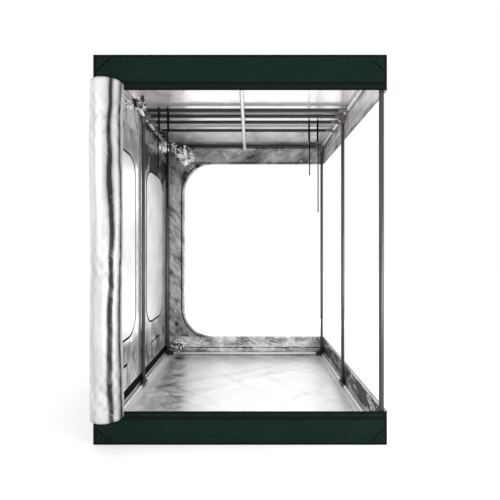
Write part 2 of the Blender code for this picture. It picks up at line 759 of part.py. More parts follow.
def tape_mesh(outer, inner):
    """A flat ring in the XY plane between two outlines of as many points, half sunk in its sheet."""
    thickness = TAPE_PROUD + SHEET / 2
    count = len(outer)
    points = [(x, y, z) for z in (0, thickness) for line in (outer, inner) for x, y in line]
    faces = []
    for i in range(count):
        n = (i + 1) % count
        low_out, low_in, high_out, high_in = (k * count for k in range(4))
        faces.append((low_out + i, low_in + i, low_in + n, low_out + n))
        faces.append((high_out + i, high_out + n, high_in + n, high_in + i))
        faces.append((low_out + i, low_out + n, high_out + n, high_out + i))
        faces.append((low_in + n, low_in + i, high_in + i, high_in + n))
    return mesh_of("tape", points, faces)


def add_left_wall(material):
    """The wall between the bands, with window tapes, vent nets and the strip that the door is sewn to."""
    foot = WALL_FOOT_HEIGHT + GAP
    band_top = BASE_BAND_HEIGHT + GAP
    top = TOP_BAND_EDGE - GAP
    edge = INNER_Y - GAP
    outline = [
        (-edge, foot),
        (edge, foot),
        (edge, top),
        (-DEPTH / 2, top),
        (-DEPTH / 2, band_top),
        (-edge, band_top),
    ]
    # The outline's x runs along +Y and its y along +Z, so the sheet's thickness runs along +X.
    upright = Matrix(((0, 0, 1), (1, 0, 0), (0, 1, 0))).to_4x4()
    at_outside = Matrix.Translation((-WIDTH / 2, 0, 0)) @ upright
    at_middle = Matrix.Translation((-WIDTH / 2 + SHEET / 2, 0, 0)) @ upright
    added = []
    half = WINDOW_LENGTH / 2
    for end, inset in WINDOW_INSETS.items():
        y = from_end(end, inset)
        outer = rounded_outline((y - half, WINDOW_FOOT), (y + half, WINDOW_TOP), WINDOW_CORNER)
        inner = rounded_outline(
            (y - half + TAPE_WIDTH, WINDOW_FOOT + TAPE_WIDTH),
            (y + half - TAPE_WIDTH, WINDOW_TOP - TAPE_WIDTH),
            WINDOW_CORNER - TAPE_WIDTH,
        )
        added.append(moved(tape_mesh(outer, inner), at_middle))
    strip = box_mesh(
        "corner_strip",
        (-OUTER_X, -OUTER_Y, band_top),
        (-OUTER_X + CORNER_STRIP_WIDTH, -INNER_Y, top),
    )
    added.append(strip)
    middles = [from_end(end, inset) for end, inset in VENT_INSETS.items()]
    cuts = [
        box_mesh(
            "vent",
            (-WIDTH / 2 - OVERRUN, y - VENT_LENGTH / 2, VENT_FOOT),
            (-WIDTH / 2 + SHEET - NET_THICKNESS, y + VENT_LENGTH / 2, VENT_FOOT + VENT_HEIGHT),
        )
        for y in middles
    ]
    sheet = moved(extruded_mesh("left_wall", outline, SHEET), at_outside)
    new_object("left_wall", shaped("left_wall", sheet, added, cuts), material)


def add_vent_flaps(material):
    """Flaps that cover the vents on the inside and turn up about their top edges."""
    half = VENT_LENGTH / 2 + FLAP_LAP
    drop = VENT_HEIGHT + FLAP_LAP
    top = VENT_FOOT + VENT_HEIGHT + FLAP_LAP
    thickness = SHEET + FLAP_HEM_PROUD
    for place, inset in VENT_INSETS.items():
        sheet = box_mesh("flap", (-thickness, -half, -drop), (SHEET - thickness, half, 0))
        hem = box_mesh("hem", (SHEET / 2 - thickness, -half, -FLAP_HEM), (0, half, 0))
        item = new_object(f"vent_flap_{place}", shaped("vent_flap", sheet, [hem]), material)
        item.location = (-INNER_X + GAP + thickness, from_end(place, inset), top)


def doorway_edge(inset):
    """The left side of the back doorway, from its foot to its top, moved towards the corner by an inset."""
    foot = BASE_BAND_HEIGHT + DOORWAY_TIP
    top = TOP_BAND_EDGE - DOORWAY_TIP
    radius = DOORWAY_CORNER + inset
    x = DOORWAY_LEFT + DOORWAY_CORNER
    centres = [(x, foot + DOORWAY_CORNER, 270, 180), (x, top - DOORWAY_CORNER, 180, 90)]
    steps = 2 * ARC_STEPS
    return [
        (
            cx + radius * math.cos(math.radians(start + (end - start) * i / steps)),
            cz + radius * math.sin(math.radians(start + (end - start) * i / steps)),
        )
        for cx, cz, start, end in centres
        for i in range(steps + 1)
    ]


def add_back_wall(material):
    """The part of the back wall left of its doorway, with the tape of the doorway's zip."""
    left = -WIDTH / 2
    foot = BASE_BAND_HEIGHT + GAP
    top = TOP_BAND_EDGE - GAP
    edge = doorway_edge(0)
    outline = [(left, foot), (edge[0][0], foot)] + edge + [(edge[0][0], top), (left, top)]
    # The outline's x runs along +X and its y along +Z, so the sheet's thickness runs along -Y.
    upright = Matrix(((1, 0, 0), (0, 0, -1), (0, 1, 0))).to_4x4()
    at_outside = Matrix.Translation((0, DEPTH / 2, 0)) @ upright
    sheet = moved(extruded_mesh("back_wall", outline, SHEET), at_outside)
    near = doorway_edge(DOORWAY_TAPE_INSET)
    far = doorway_edge(DOORWAY_TAPE_INSET + TAPE_WIDTH)
    pairs = [(a, b) for a, b in zip(near, far) if foot < b[1] < top]
    outline = [a for a, _ in pairs] + [b for _, b in reversed(pairs)]
    tape = extruded_mesh("tape", outline, TAPE_PROUD + SHEET / 2)
    moved(tape, Matrix.Translation((0, DEPTH / 2 - SHEET / 2, 0)) @ upright)
    new_object("back_wall", shaped("back_wall", sheet, [tape]), material)


# Rolled door and zip sliders


def roll_ring(share):
    """One round of the rolled door at a share of its length, drawn in most above its middle."""
    high = (1 + math.sin(math.tau * (share - ROLL_WAVE_SHARES["waist"]))) / 2
    waist = 1 - ROLL_WAIST_SHARE * math.sin(math.pi * share) ** 2 * high
    sway = ROLL_SWAY * math.sin(2 * math.tau * (share + ROLL_WAVE_SHARES["sway"] / 2))
    centre_y = -OUTER_Y - GAP - SHEET / 2 - ROLL_HALF_DEPTH
    points = []
    for i in range(ROLL_SIDES):
        angle = 360 * i / ROLL_SIDES - 180
        reach = 1
        for place, spread, depth in ROLL_CREASE_SHARES:
            turns = ROLL_WAVE_SHARES["crease"] * share
            wander = ROLL_CREASE_WANDER_DEGREES * math.sin(math.tau * turns + place)
            reach -= depth * math.exp(-(((angle - place - wander) / spread) ** 2))
        x = ROLL_CENTRE_X + sway + ROLL_HALF_WIDTH * waist * reach * math.cos(math.radians(angle))
        y = centre_y + ROLL_HALF_DEPTH * reach * math.sin(math.radians(angle))
        points.append((x, y, ROLL_FOOT + (ROLL_TOP - ROLL_FOOT) * share))
    return points


def add_door_roll(material):
    sides, levels = ROLL_SIDES, ROLL_LEVELS
    points = [point for j in range(levels + 1) for point in roll_ring(j / levels)]
    faces = [tuple(reversed(range(sides))), tuple(range(levels * sides, (levels + 1) * sides))]
    for j in range(levels):
        for i in range(sides):
            n = (i + 1) % sides
            faces.append((j * sides + i, j * sides + n, (j + 1) * sides + n, (j + 1) * sides + i))
    roll = mesh_of("roll", points, faces)
    hem_back = -OUTER_Y - GAP
    hem = box_mesh(
        "hem",
        (-OUTER_X + ROLL_HEM_INSET, hem_back - SHEET, ROLL_FOOT + ROLL_HEM_MARGIN),
        (ROLL_CENTRE_X, hem_back, ROLL_TOP - ROLL_HEM_MARGIN),
    )
    new_object("door_roll", shaped("door_roll", roll, [hem]), material, True)


def add_zip_sliders(material):
    """Sliders parked at the left end of the front zips, their tabs lying along the tape."""
    face = -OUTER_Y + ZIP_STRIP_DEPTH - GAP
    strips = {
        "top": TOP_BAND_EDGE + ZIP_FLAP_HEIGHT + ZIP_STRIP_HEIGHT / 2,
        "base": BASE_BAND_HEIGHT - ZIP_FLAP_HEIGHT - ZIP_STRIP_HEIGHT / 2,
    }
    for place, z in strips.items():
        half = SLIDER_HEIGHT / 2
        body = box_mesh("slider", (0, face - SLIDER_DEPTH, z - half), (SLIDER_LENGTH, face, z + half))
        tab_half = SLIDER_TAB_HEIGHT / 2
        tab_back = face - SLIDER_DEPTH / 2
        tab = box_mesh(
            "tab",
            (SLIDER_LENGTH / 2, tab_back - SLIDER_TAB_THICKNESS, z - tab_half),
            (SLIDER_LENGTH + SLIDER_TAB_LENGTH, tab_back, z + tab_half),
        )
        item = new_object(f"zip_slider_{place}", shaped("zip_slider", body, [tab]), material)
        item.location = (SLIDER_X, 0, 0)


def main():
    clear_scene()
    finishes = all_finishes()
    add_connectors(finishes["socket"])
    add_poles(finishes["pole"])
    add_uprights(finishes["pole"], finishes["button"])
    add_hanging_bars(finishes["pole"])
    add_centre_pole(finishes["pole"])
    add_hanging_cords(finishes["cord"])
    add_sleeve_drawcord(finishes["cord"])
    add_roof_cap(finishes["band"])
    add_base_band(finishes["band"])
    add_floor(finishes["floor"])
    add_left_wall(finishes["wall"])
    add_vent_flaps(finishes["wall"])
    add_back_wall(finishes["wall"])
    add_door_roll(finishes["wall"])
    add_zip_sliders(finishes["slider"])


main()
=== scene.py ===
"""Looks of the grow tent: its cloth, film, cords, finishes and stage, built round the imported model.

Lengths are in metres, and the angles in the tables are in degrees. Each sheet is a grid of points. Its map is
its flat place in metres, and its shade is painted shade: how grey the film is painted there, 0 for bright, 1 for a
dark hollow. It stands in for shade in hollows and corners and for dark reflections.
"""

import itertools
import math

import bmesh
import bpy
import numpy as np
from bpy.props import FloatProperty, FloatVectorProperty, IntProperty, PointerProperty
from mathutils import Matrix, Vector


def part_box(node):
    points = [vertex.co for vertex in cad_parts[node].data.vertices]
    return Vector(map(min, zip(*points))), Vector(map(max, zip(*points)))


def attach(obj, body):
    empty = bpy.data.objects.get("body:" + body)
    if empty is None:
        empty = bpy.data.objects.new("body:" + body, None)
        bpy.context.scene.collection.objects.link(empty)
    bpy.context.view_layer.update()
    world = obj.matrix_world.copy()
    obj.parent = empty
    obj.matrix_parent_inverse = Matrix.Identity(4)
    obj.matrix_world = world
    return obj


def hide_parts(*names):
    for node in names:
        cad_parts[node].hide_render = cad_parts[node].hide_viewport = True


bl_info = {
    "name": "Grow Tent Looks",
    "version": (1, 0, 0),
    "blender": (4, 5, 0),
    "location": "View3D > Sidebar > Grow Tent",
    "description": "Builds the cloth, cords, finishes and stage of the grow tent on its frame",
    "category": "Object",
}

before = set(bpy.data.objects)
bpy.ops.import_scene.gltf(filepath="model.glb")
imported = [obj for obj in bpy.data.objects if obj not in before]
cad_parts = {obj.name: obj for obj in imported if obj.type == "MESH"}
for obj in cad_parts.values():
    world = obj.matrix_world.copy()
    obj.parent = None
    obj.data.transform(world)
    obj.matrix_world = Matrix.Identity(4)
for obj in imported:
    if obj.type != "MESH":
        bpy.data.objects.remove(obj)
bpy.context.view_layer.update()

MAP = "metres"
SHADE = "shade"
FINE_WELD = 0.00001

# Places read from the frame
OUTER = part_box("roof_cap")[1].x
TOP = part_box("roof_cap")[1].z
BAND_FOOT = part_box("roof_cap")[0].z
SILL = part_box("base_band")[1].z
WALL_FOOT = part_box("left_wall")[0].z
ROLL_FOOT, ROLL_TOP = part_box("door_roll")[0].z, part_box("door_roll")[1].z
FLAP_BOXES = {place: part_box(f"vent_flap_{place}") for place in ("front", "rear")}
BAR_HEIGHT = 1.9761
BAR_PLACES = {"left": -0.12, "right": 0.1}
UPRIGHTS = (-0.7329, 0.0, 0.7329)

# Cloth
GAP = 0.0003
INNER = 0.748
WALL_EDGE = 0.7477
FLOOR_EDGE, FLOOR_HEM = 0.7475, 0.675
DEPTH_HALF = 0.75
WALL_X = -DEPTH_HALF
CLOTH_STEP = 0.0115

# Bands: rows across an edge or a zip are height, how far they stand out and kind
LINING = 0.002
LINING_LIMIT = 0.0057
CORNER_RADIUS = 0.006
BINDING = 0.014
BOUND_PROUD = 0.0009
ZIP_EDGES = (0.024, 0.044)
ZIP_MARGIN = 0.014
NARROW_CLOTH = 0.03
KINDS = {"cloth": 0, "binding": 1, "tape": 2, "coil": 3}
BAND_SIDES = {
    "front": ((-1, -1), (1, -1)),
    "right": ((1, -1), (1, 1)),
    "back": ((1, 1), (-1, 1)),
    "left": ((-1, 1), (-1, -1)),
}
BOUND_EDGE = ((0, -0.0009, "binding"), (0.0006, 0.0004, "binding"), (0.003, 0.001, "binding"))
ZIP_EDGE = ((-0.0008, 0.0006, "cloth"), (0, 0.0002, "cloth"), (0.0002, -0.0014, "tape"))
ZIP_COIL = ((-0.0034, -0.0014, "tape"), (-0.0028, -0.0011, "coil"), (-0.0016, -0.0002, "coil"), (0, 0.0001, "coil"))

# Corner patches: the rings are inset share and how far they stand out, the profiles place across and lift
PATCH_LEG, PATCH_THICK, PATCH_SEAT, PATCH_POINTS = 0.068, 0.0006, 0.0006, 12
PATCH_RINGS = ((0, 0.0001), (0.0006, PATCH_THICK), (0.5, PATCH_THICK + 0.0001), (0.995, PATCH_THICK))
SEAM_PROFILE = ((-0.0028, -0.0004), (-0.0024, 0.0003), (0.0014, 0.0004), (0.0018, 0.0))
STITCHES, STITCH_HALF = 17, 0.018
STITCH_PROFILE = ((-1, 0.0), (-0.5, 0.0007), (0.5, 0.0007), (1, 0.0))

# Left wall
WINDOW_MIDDLES = {"front": -0.3675, "rear": 0.369}
WINDOW_LENGTH = 0.505
WINDOW_HEIGHTS = (0.415, 1.64)
WINDOW_CORNER = 0.15
WINDOW_FLAT = 0.03
TAPE = 0.014
TAPE_PROUD = 0.0008
TAPE_MAP = (0, 0.0004, 0.0036, 0.0042, 0.0058, 0.0064, 0.0096, 0.01)
VENT_MIDDLES = {"front": -0.4, "rear": 0.37}
VENT_HALF = 0.1
VENT_HEIGHTS = (0.125, 0.255)
NET_PITCH, NET_RADIUS, NET_STRANDS = 0.004, 0.0004, (49, 32)
FLAP_HEM = 0.0165
RIM_TAPE_MAP = (0, 0.007, 0.008)
RIM_WIDTH = 0.002
FIRST_ROW, LAST_ROW, FIRST_COLUMN, LAST_COLUMN = np.s_[0, :], np.s_[-1, :], np.s_[:, 0], np.s_[:, -1]
CORNER_STRIP = (
    (-0.718, -0.7482), (-0.718, -0.7535), (-0.7186, -0.754), (-0.7525, -0.754),
    (-0.754, -0.7525), (-0.754, -0.7485), (-0.7515, -0.7482), (-0.75, -0.7482),
)

# Back doorway
DOORWAY_LEFT = -0.572
DOORWAY_CORNER = 0.27
DOORWAY_TIP = 0.004
DOORWAY_ZIP_INSET = 0.024
DOORWAY_ZIP_LIFTS = (0, 0.0008, 0.0009, 0.0016, 0.0016, 0.0009, 0.0008, 0)

# Rolled door: creases are place, spread, depth, painted grey and how far the grey reaches before and after,
# pinches are height and depth. The grey is painted shade along each crease; the crease at -10 degrees is mostly
# a painted reflection stripe over a shallow fold.
ROLL_CENTRE = (-0.655, -0.8273)
ROLL_HALF = (0.0835, 0.0735)
ROLL_POINTS = (112, 44, 32, 28, 24)
ROLL_CREASES = (
    (-53, 10, 0.11, 1.25, 11, 8), (-10, 12, 0.05, 0.8, 12, 9),
    (-118, 9, 0.03, 0.14, 8, 6), (38, 12, 0.05, 0.6, 10, 10),
)
PINCHES = ((1.6465, 0.05), (0.9056, 0.045), (0.33, 0.02))
DOOR_THICKNESS = 0.0011

# Ducting sleeves: start, direction, radius and length; the shape is the radius along them
SLEEVES = {
    "side_front": ((-INNER, -0.4, 1.905), (1, 0, 0), 0.05, 0.14),
    "side_rear": ((-INNER, 0.5, 1.905), (1, 0, 0), 0.05, 0.14),
    "back": ((-0.56, INNER, 1.882), (0, -1, 0), 0.07, 0.155),
    "low": ((-0.62, INNER, 0.105), (0, -1, 0), 0.05, 0.1),
}
SLEEVE_SHAPE = np.array(
    [(0, 0.92), (0.16, 1), (0.38, 0.97), (0.56, 0.66), (0.66, 0.4), (0.74, 0.45), (0.87, 0.84), (1, 0.98)]
)
SLEEVE_PLEATS = 6
CLOSED_END_PLACES = (1.01, 1.0, 0.975, 0.95, 0.93, 0.92, 0.92)
CLOSED_END_SHARES = (0.93, 0.78, 0.58, 0.38, 0.2, 0.08, 0)
LOCK_PROFILE = (
    (0, -0.009), (0.005, -0.009), (0.0066, -0.0075), (0.0068, -0.001), (0.0062, 0), (0.0068, 0.001),
    (0.0068, 0.006), (0.0058, 0.0072), (0.0042, 0.0075), (0.0042, 0.011), (0.0036, 0.012), (0, 0.012),
)

# Cords
CORD_ROUTE = (
    (0, -0.0173, -0.408), (0, -0.0173, -0.27), (0, -0.0173, -0.13), (0, -0.0173, -0.026),
    (0, -0.0173, 0), (0, -0.0122, 0.0122), (0, 0, 0.0173), (0, 0.0122, 0.0122),
    (0, 0.0173, 0), (0, 0.0173, -0.026), (0, 0.0173, -0.1), (0, 0.0173, -0.1265),
    (0.0044, 0.0173, -0.1427), (0.0163, 0.0173, -0.1546), (0.0325, 0.0173, -0.159),
    (0.0487, 0.0173, -0.1546), (0.0606, 0.0173, -0.1427), (0.065, 0.0173, -0.1265),
    (0.065, 0.0173, -0.1), (0.065, 0.0173, -0.026), (0.065, 0.0173, 0),
    (0.065, 0.0122, 0.0122), (0.065, 0, 0.0173), (0.065, -0.0122, 0.0122),
    (0.065, -0.0173, 0), (0.065, -0.0173, -0.026), (0.065, -0.0173, -0.2),
    (0.065, -0.0173, -0.45), (0.065, -0.0173, -0.69),
)
DRAWCORD_ROUTE = (
    (-0.0375, -0.0545, -0.119), (-0.0375, -0.0545, -0.08), (-0.0375, -0.0545, -0.04),
    (-0.0375, -0.0548, -0.012), (-0.036, -0.055, 0.002), (-0.03, -0.052, 0.0095),
    (-0.0185, -0.0445, 0.009), (-0.009, -0.0335, 0.0055), (-0.001, -0.0239, -0.001),
    (0.001, -0.0238, -0.014), (0.002, -0.0245, -0.04), (0.005, -0.0245, -0.09),
    (0.011, -0.0245, -0.135), (0.021, -0.0245, -0.172),
)
CORD_PLACES = {"left": (-0.587, BAR_PLACES["left"], BAR_HEIGHT), "right": (0.503, BAR_PLACES["right"], BAR_HEIGHT)}
CORD_BODIES = {"left": "bar_front", "right": "bar_middle"}
DRAWCORD_PLACE = (-0.6556, -0.4, 1.905)
SHORT_RUN, CORD_STEP = 0.03, 0.026
CORD_END = (
    (-0.0004, 0.2), (-0.0006, 0.4), (0.0008, 0.55), (0.003, 0.57), (0.011, 0.57), (0.0125, 0.54), (0.0127, 0.5),
)

# Finishes
# Films: how strong and how drawn out their folds' painted shade and relief are, how broken their painted shade is,
# and how strong their painted glints, thin bright lines.
FILMS = {
    "band_lining_film": {"folds": 0.2, "scale": 1.1, "drawn": (0.7, 1.2), "turn": 24, "breaks": 0.15},
    "roof_film": {"folds": 0.14, "drawn": (0.6, 1.2), "metallic": 0.6, "roughness": 0.17},
    "sill_film": {"folds": 0.36, "scale": 2.2, "drawn": (0.7, 1.4), "turn": -12},
    "floor_film": {"folds": 0.12, "scale": 1.8, "drawn": (0.8, 1.4), "turn": 14, "breaks": 0.8, "painted_glints": 0.2},
    "floor_hem_film": {"folds": 0.1, "scale": 1.8, "metallic": 0.1},
    "wall_film": {
        "folds": 0.21, "scale": 1.2, "drawn": (1.5, 0.5), "turn": 8, "metallic": 0.7, "roughness": 0.22,
        "painted_glints": 0.25,
    },
    "window_film": {"folds": 0.07, "scale": 0.7},
    "flap_film": {"folds": 0.35, "scale": 1.8},
    "back_film": {"folds": 0.2, "scale": 1.9, "drawn": (1.6, 0.5), "turn": -38, "breaks": 0.2},
    "door_film": {"folds": 0.1, "scale": 1.2, "drawn": (1.4, 0.5), "turn": 28, "breaks": 0.05, "painted_glints": 0.16},
    "sleeve_film": {"folds": 0.3, "scale": 4.0, "drawn": (1.0, 0.7), "breaks": 0.3},
}
# Fold lines of the film: size, the weight of the facets' painted tone and of their relief, and the strength of each
# line's painted shade and painted highlight.
FOLD_SIZES = ((4.5, 0.4, 0.3), (12.0, 0.5, 0.8), (34.0, 0.45, 1.0))
# Slants and stretch of the film's painted glints, thin bright lines.
PAINTED_GLINT_LEANS, PAINTED_GLINT_STRETCH = (-38.0, 31.0), (4.0, 150.0, 1.0)
THREAD_COLOUR = (0.0022, 0.0038, 0.003)
LOCK_COLOUR = (0.006, 0.006, 0.006)
BUTTON_COLOUR = (0.55, 0.55, 0.55)
# The cross poles and bars take the poles' enamel at this share of its colour: painted shade.
CROSS_POLE_SHADE_TONE = 0.25
BAR_SLEEVE_START = 0.668
FRAME_FINISHES = (
    # The rails take a bright copy of the frame's finish: a painted reflection.
    (("top_rail", "base_rail", "base_pole_rear", "centre_pole"), "rail_zinc"),
    (("hanging_bar",), "bar_enamel_sleeved"),
    (("top_pole", "base_pole", "crossbar", "base_tee", "base_corner"), "cross_pole_enamel"),
    (("upright",), "pole_enamel_dark"),
    (("top_corner", "top_tee"), "socket_enamel_brown"),
    (("snap_button",), "button_steel_bright"),
    (("zip_slider",), "slider_lacquer"),
)

# Stage: lamps are place, target, size and share of the lamp power
LAMPS = {
    "main_lamp": ((-2.4, -3.2, 1.9), (0.7, 0.1, 1.5), (2.2, 1.6), 1.4),
    "side_lamp": ((4.4, -0.7, 1.5), (-0.7, 0, 0.9), (2.4, 2.4), 1.8),
    "corner_lamp": ((1.7, -1.7, 0.8), (-0.7, 0.3, 1.85), (0.8, 0.8), 1.2),
    "low_lamp": ((0.7, -3.6, 0.3), (0, 0.3, 1.95), (2.6, 0.9), 4),
    "back_lamp": ((0.4, 3.6, 2.4), (0, 0, 0.9), (2.4, 1.6), 1),
    "doorway_lamp": ((0.2, 2.7, 0.3), (0, -0.1, 1.97), (2.0, 0.5), 4.5),
}
UNMIRRORED_LAMPS = ("doorway_lamp",)
STAGE_HALF, STAGE_LINES, STAGE_DROP, STAGE_LIFT = 14, 15, 0.0004, 0.35
SEEN_RAYS = ("Is Camera Ray", "Is Glossy Ray", "Is Transmission Ray")
WHITE = (1.0, 1.0, 1.0, 1.0)


# Waves and folds of cloth, worked out for whole grids at once


def random_share(x, y, seed):
    """A repeatable number from 0 to 1 for each pair of whole numbers."""
    mixed = (x * 73856093) ^ (y * 19349663) ^ (seed * 83492791 + 12345)
    mixed = (mixed ^ (mixed >> 13)) * 1274126177 & 0x7FFFFFFF
    mixed = (mixed ^ (mixed >> 15)) * 668265263 & 0x7FFFFFFF
    return (mixed ^ (mixed >> 16)) % 65521 / 65521


def rumple(u, v, size, seed, rounds=3):
    """Soft waves from about -1 to 1 that are as wide as size, with finer ones on them."""
    total, height = 0, 1
    for turn in range(rounds):
        x, y = u / size + 3.7 * seed, v / size + 1.9 * seed
        ix, iy = np.floor(x).astype(np.int64), np.floor(y).astype(np.int64)
        fx, fy = x - ix, y - iy
        fx, fy = fx * fx * (3 - 2 * fx), fy * fy * (3 - 2 * fy)
        corner = [random_share(ix + a, iy + b, seed + turn) for b in (0, 1) for a in (0, 1)]
        low = corner[0] * (1 - fx) + corner[1] * fx
        high = corner[2] * (1 - fx) + corner[3] * fx
        total = total + height * (2 * (low * (1 - fy) + high * fy) - 1)
        size, height = size / 2, height / 2
    return total


def creases(u, v, size, seed, sharpness=3):
    """Sharp fold lines from 0 to 1 that wander over a cloth."""
    return np.clip(1 - sharpness * np.abs(rumple(u, v, size, seed)), 0, 1)


def bell(distance, width):
    """1 at no distance, falling away evenly to both sides."""
    return np.exp(-((distance / width) ** 2))


def ease(value, start, end):
    """0 before start, 1 after end, smooth between them."""
    share = np.clip((value - start) / (end - start), 0, 1)
    return share * share * (3 - 2 * share)


# Meshes


def mapped(across, up):
    """Two lists of lengths as a grid of map places."""
    return np.stack(np.meshgrid(across, up), -1)


def joined(x, y, z):
    """Grids of coordinates, or single ones, as one grid of points."""
    return np.stack(np.broadcast_arrays(x, y, z), -1)


def steps(start, end, size):
    """Places from start to end, about one size apart."""
    return np.linspace(start, end, max(2, int(round(abs(end - start) / size)) + 1))


def quarter_turns(start, end, count):
    """Cosines and sines of angles from start to end."""
    angles = np.radians(np.linspace(start, end, count))
    return np.cos(angles), np.sin(angles)


def line_lengths(points, closed=True):
    """How far along its line each point is."""
    ends = np.vstack([points, points[:1]]) if closed else points
    return np.concatenate([[0], np.cumsum(np.linalg.norm(np.diff(ends, axis=0), axis=1))])


def unit(rows):
    return rows / np.linalg.norm(rows, axis=1)[:, None]


def left_of(directions):
    """Directions turned a quarter to the left."""
    return np.stack([-directions[:, 1], directions[:, 0]], -1)


def wrapped(flat):
    """A grid with its first column once more at the end."""
    return np.concatenate([flat, flat[:, :1]], 1)


def rounded_outline(low, high, radius, arc_steps=10, side_step=0.03):
    """A closed line round a rectangle with round corners, anticlockwise."""
    (x0, y0), (x1, y1) = low, high
    corners = [(x1 - radius, y0 + radius, -90), (x1 - radius, y1 - radius, 0),
               (x0 + radius, y1 - radius, 90), (x0 + radius, y0 + radius, 180)]
    points = []
    for n, (x, y, start) in enumerate(corners):
        for i in range(arc_steps + 1):
            angle = math.radians(start + 90 * i / arc_steps)
            points.append((x + radius * math.cos(angle), y + radius * math.sin(angle)))
        nx, ny, turn = corners[(n + 1) % 4]
        end = (nx + radius * math.cos(math.radians(turn)), ny + radius * math.sin(math.radians(turn)))
        last = points[-1]
        count = max(1, int(math.dist(last, end) / side_step))
        points += [(last[0] + (end[0] - last[0]) * k / count, last[1] + (end[1] - last[1]) * k / count)
                   for k in range(1, count)]
    return np.array(points)


class Cloth:
    """Grids of points gathered into one mesh, each with its map, shade and finish."""

    def __init__(self):
        self.points, self.faces, self.maps, self.shades, self.finishes = [], [], [], [], []
        self.count = 0

    def add(self, places, lengths, finish=0, closed=False, shade=0, holes=None):
        """A grid of rows of points. Lengths holds the map; a closed grid's map has one more column."""
        places = np.asarray(places, float)
        rows, columns = places.shape[:2]
        across = columns if closed else columns - 1
        keep = slice(None) if holes is None else ~holes.reshape(-1)
        j, i = np.meshgrid(np.arange(rows - 1), np.arange(across), indexing="ij")
        after = (i + 1) % columns
        corners = [j * columns + i, j * columns + after, (j + 1) * columns + after, (j + 1) * columns + i]
        self.faces.append((np.stack(corners, -1).reshape(-1, 4) + self.count)[keep])
        corners = [lengths[j, i], lengths[j, i + 1], lengths[j + 1, i + 1], lengths[j + 1, i]]
        self.maps.append(np.stack(corners, 2).reshape(-1, 4, 2)[keep].reshape(-1, 2))
        self.finishes.append(np.broadcast_to(finish, (rows - 1, across)).reshape(-1)[keep])
        self.shades.append(np.broadcast_to(shade, (rows, columns)).reshape(-1))
        self.points.append(places.reshape(-1, 3))
        self.count += rows * columns
        return self

    def add_rim(self, near, far, flat, shift, finish):
        """The narrow strip that joins the two faces of a sheet along one edge."""
        self.add(np.stack([near, far]), np.stack([flat, flat + shift]), finish)

    def object(self, context, name, finishes, body, slot, weld=0.00005):
        """The mesh as a piece of the scene. Finishes holds the names of its finishes."""
        mesh = bpy.data.meshes.new(name)
        faces = np.concatenate(self.faces)
        mesh.from_pydata(np.concatenate(self.points), [], faces.tolist())
        maps = np.concatenate(self.maps).astype(np.float32)
        mesh.uv_layers.new(name=MAP).data.foreach_set("uv", maps.ravel())
        mesh.polygons.foreach_set("material_index", np.concatenate(self.finishes).astype(np.int32))
        shades = mesh.attributes.new(SHADE, "FLOAT", "POINT")
        shades.data.foreach_set("value", np.concatenate(self.shades).astype(np.float32))
        for finish in finishes:
            mesh.materials.append(named_finish(context, finish))
        form = bmesh.new()
        form.from_mesh(mesh)
        bmesh.ops.remove_doubles(form, verts=form.verts, dist=weld)
        bmesh.ops.recalc_face_normals(form, faces=form.faces)
        form.to_mesh(mesh)
        form.free()
        mesh.shade_smooth()
        mesh.set_sharp_from_angle(angle=math.radians(50))
        return placed(bpy.data.objects.new(name, mesh), body)


def placed(item, body):
    bpy.context.scene.collection.objects.link(item)
    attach(item, body)
    return item


# Finishes


class Signal:
    """One output of a material's nodes. A sum with numbers or other outputs adds the node that works it out."""

    def __init__(self, finish, socket):
        self.finish, self.socket = finish, socket

    def __add__(self, other):
        return self.finish.sum("ADD", self, other)

    def __radd__(self, other):
        return self.finish.sum("ADD", other, self)

    def __sub__(self, other):
        return self.finish.sum("SUBTRACT", self, other)

    def __mul__(self, other):
        return self.finish.sum("MULTIPLY", self, other)

    def __abs__(self):
        return self.finish.sum("ABSOLUTE", self)


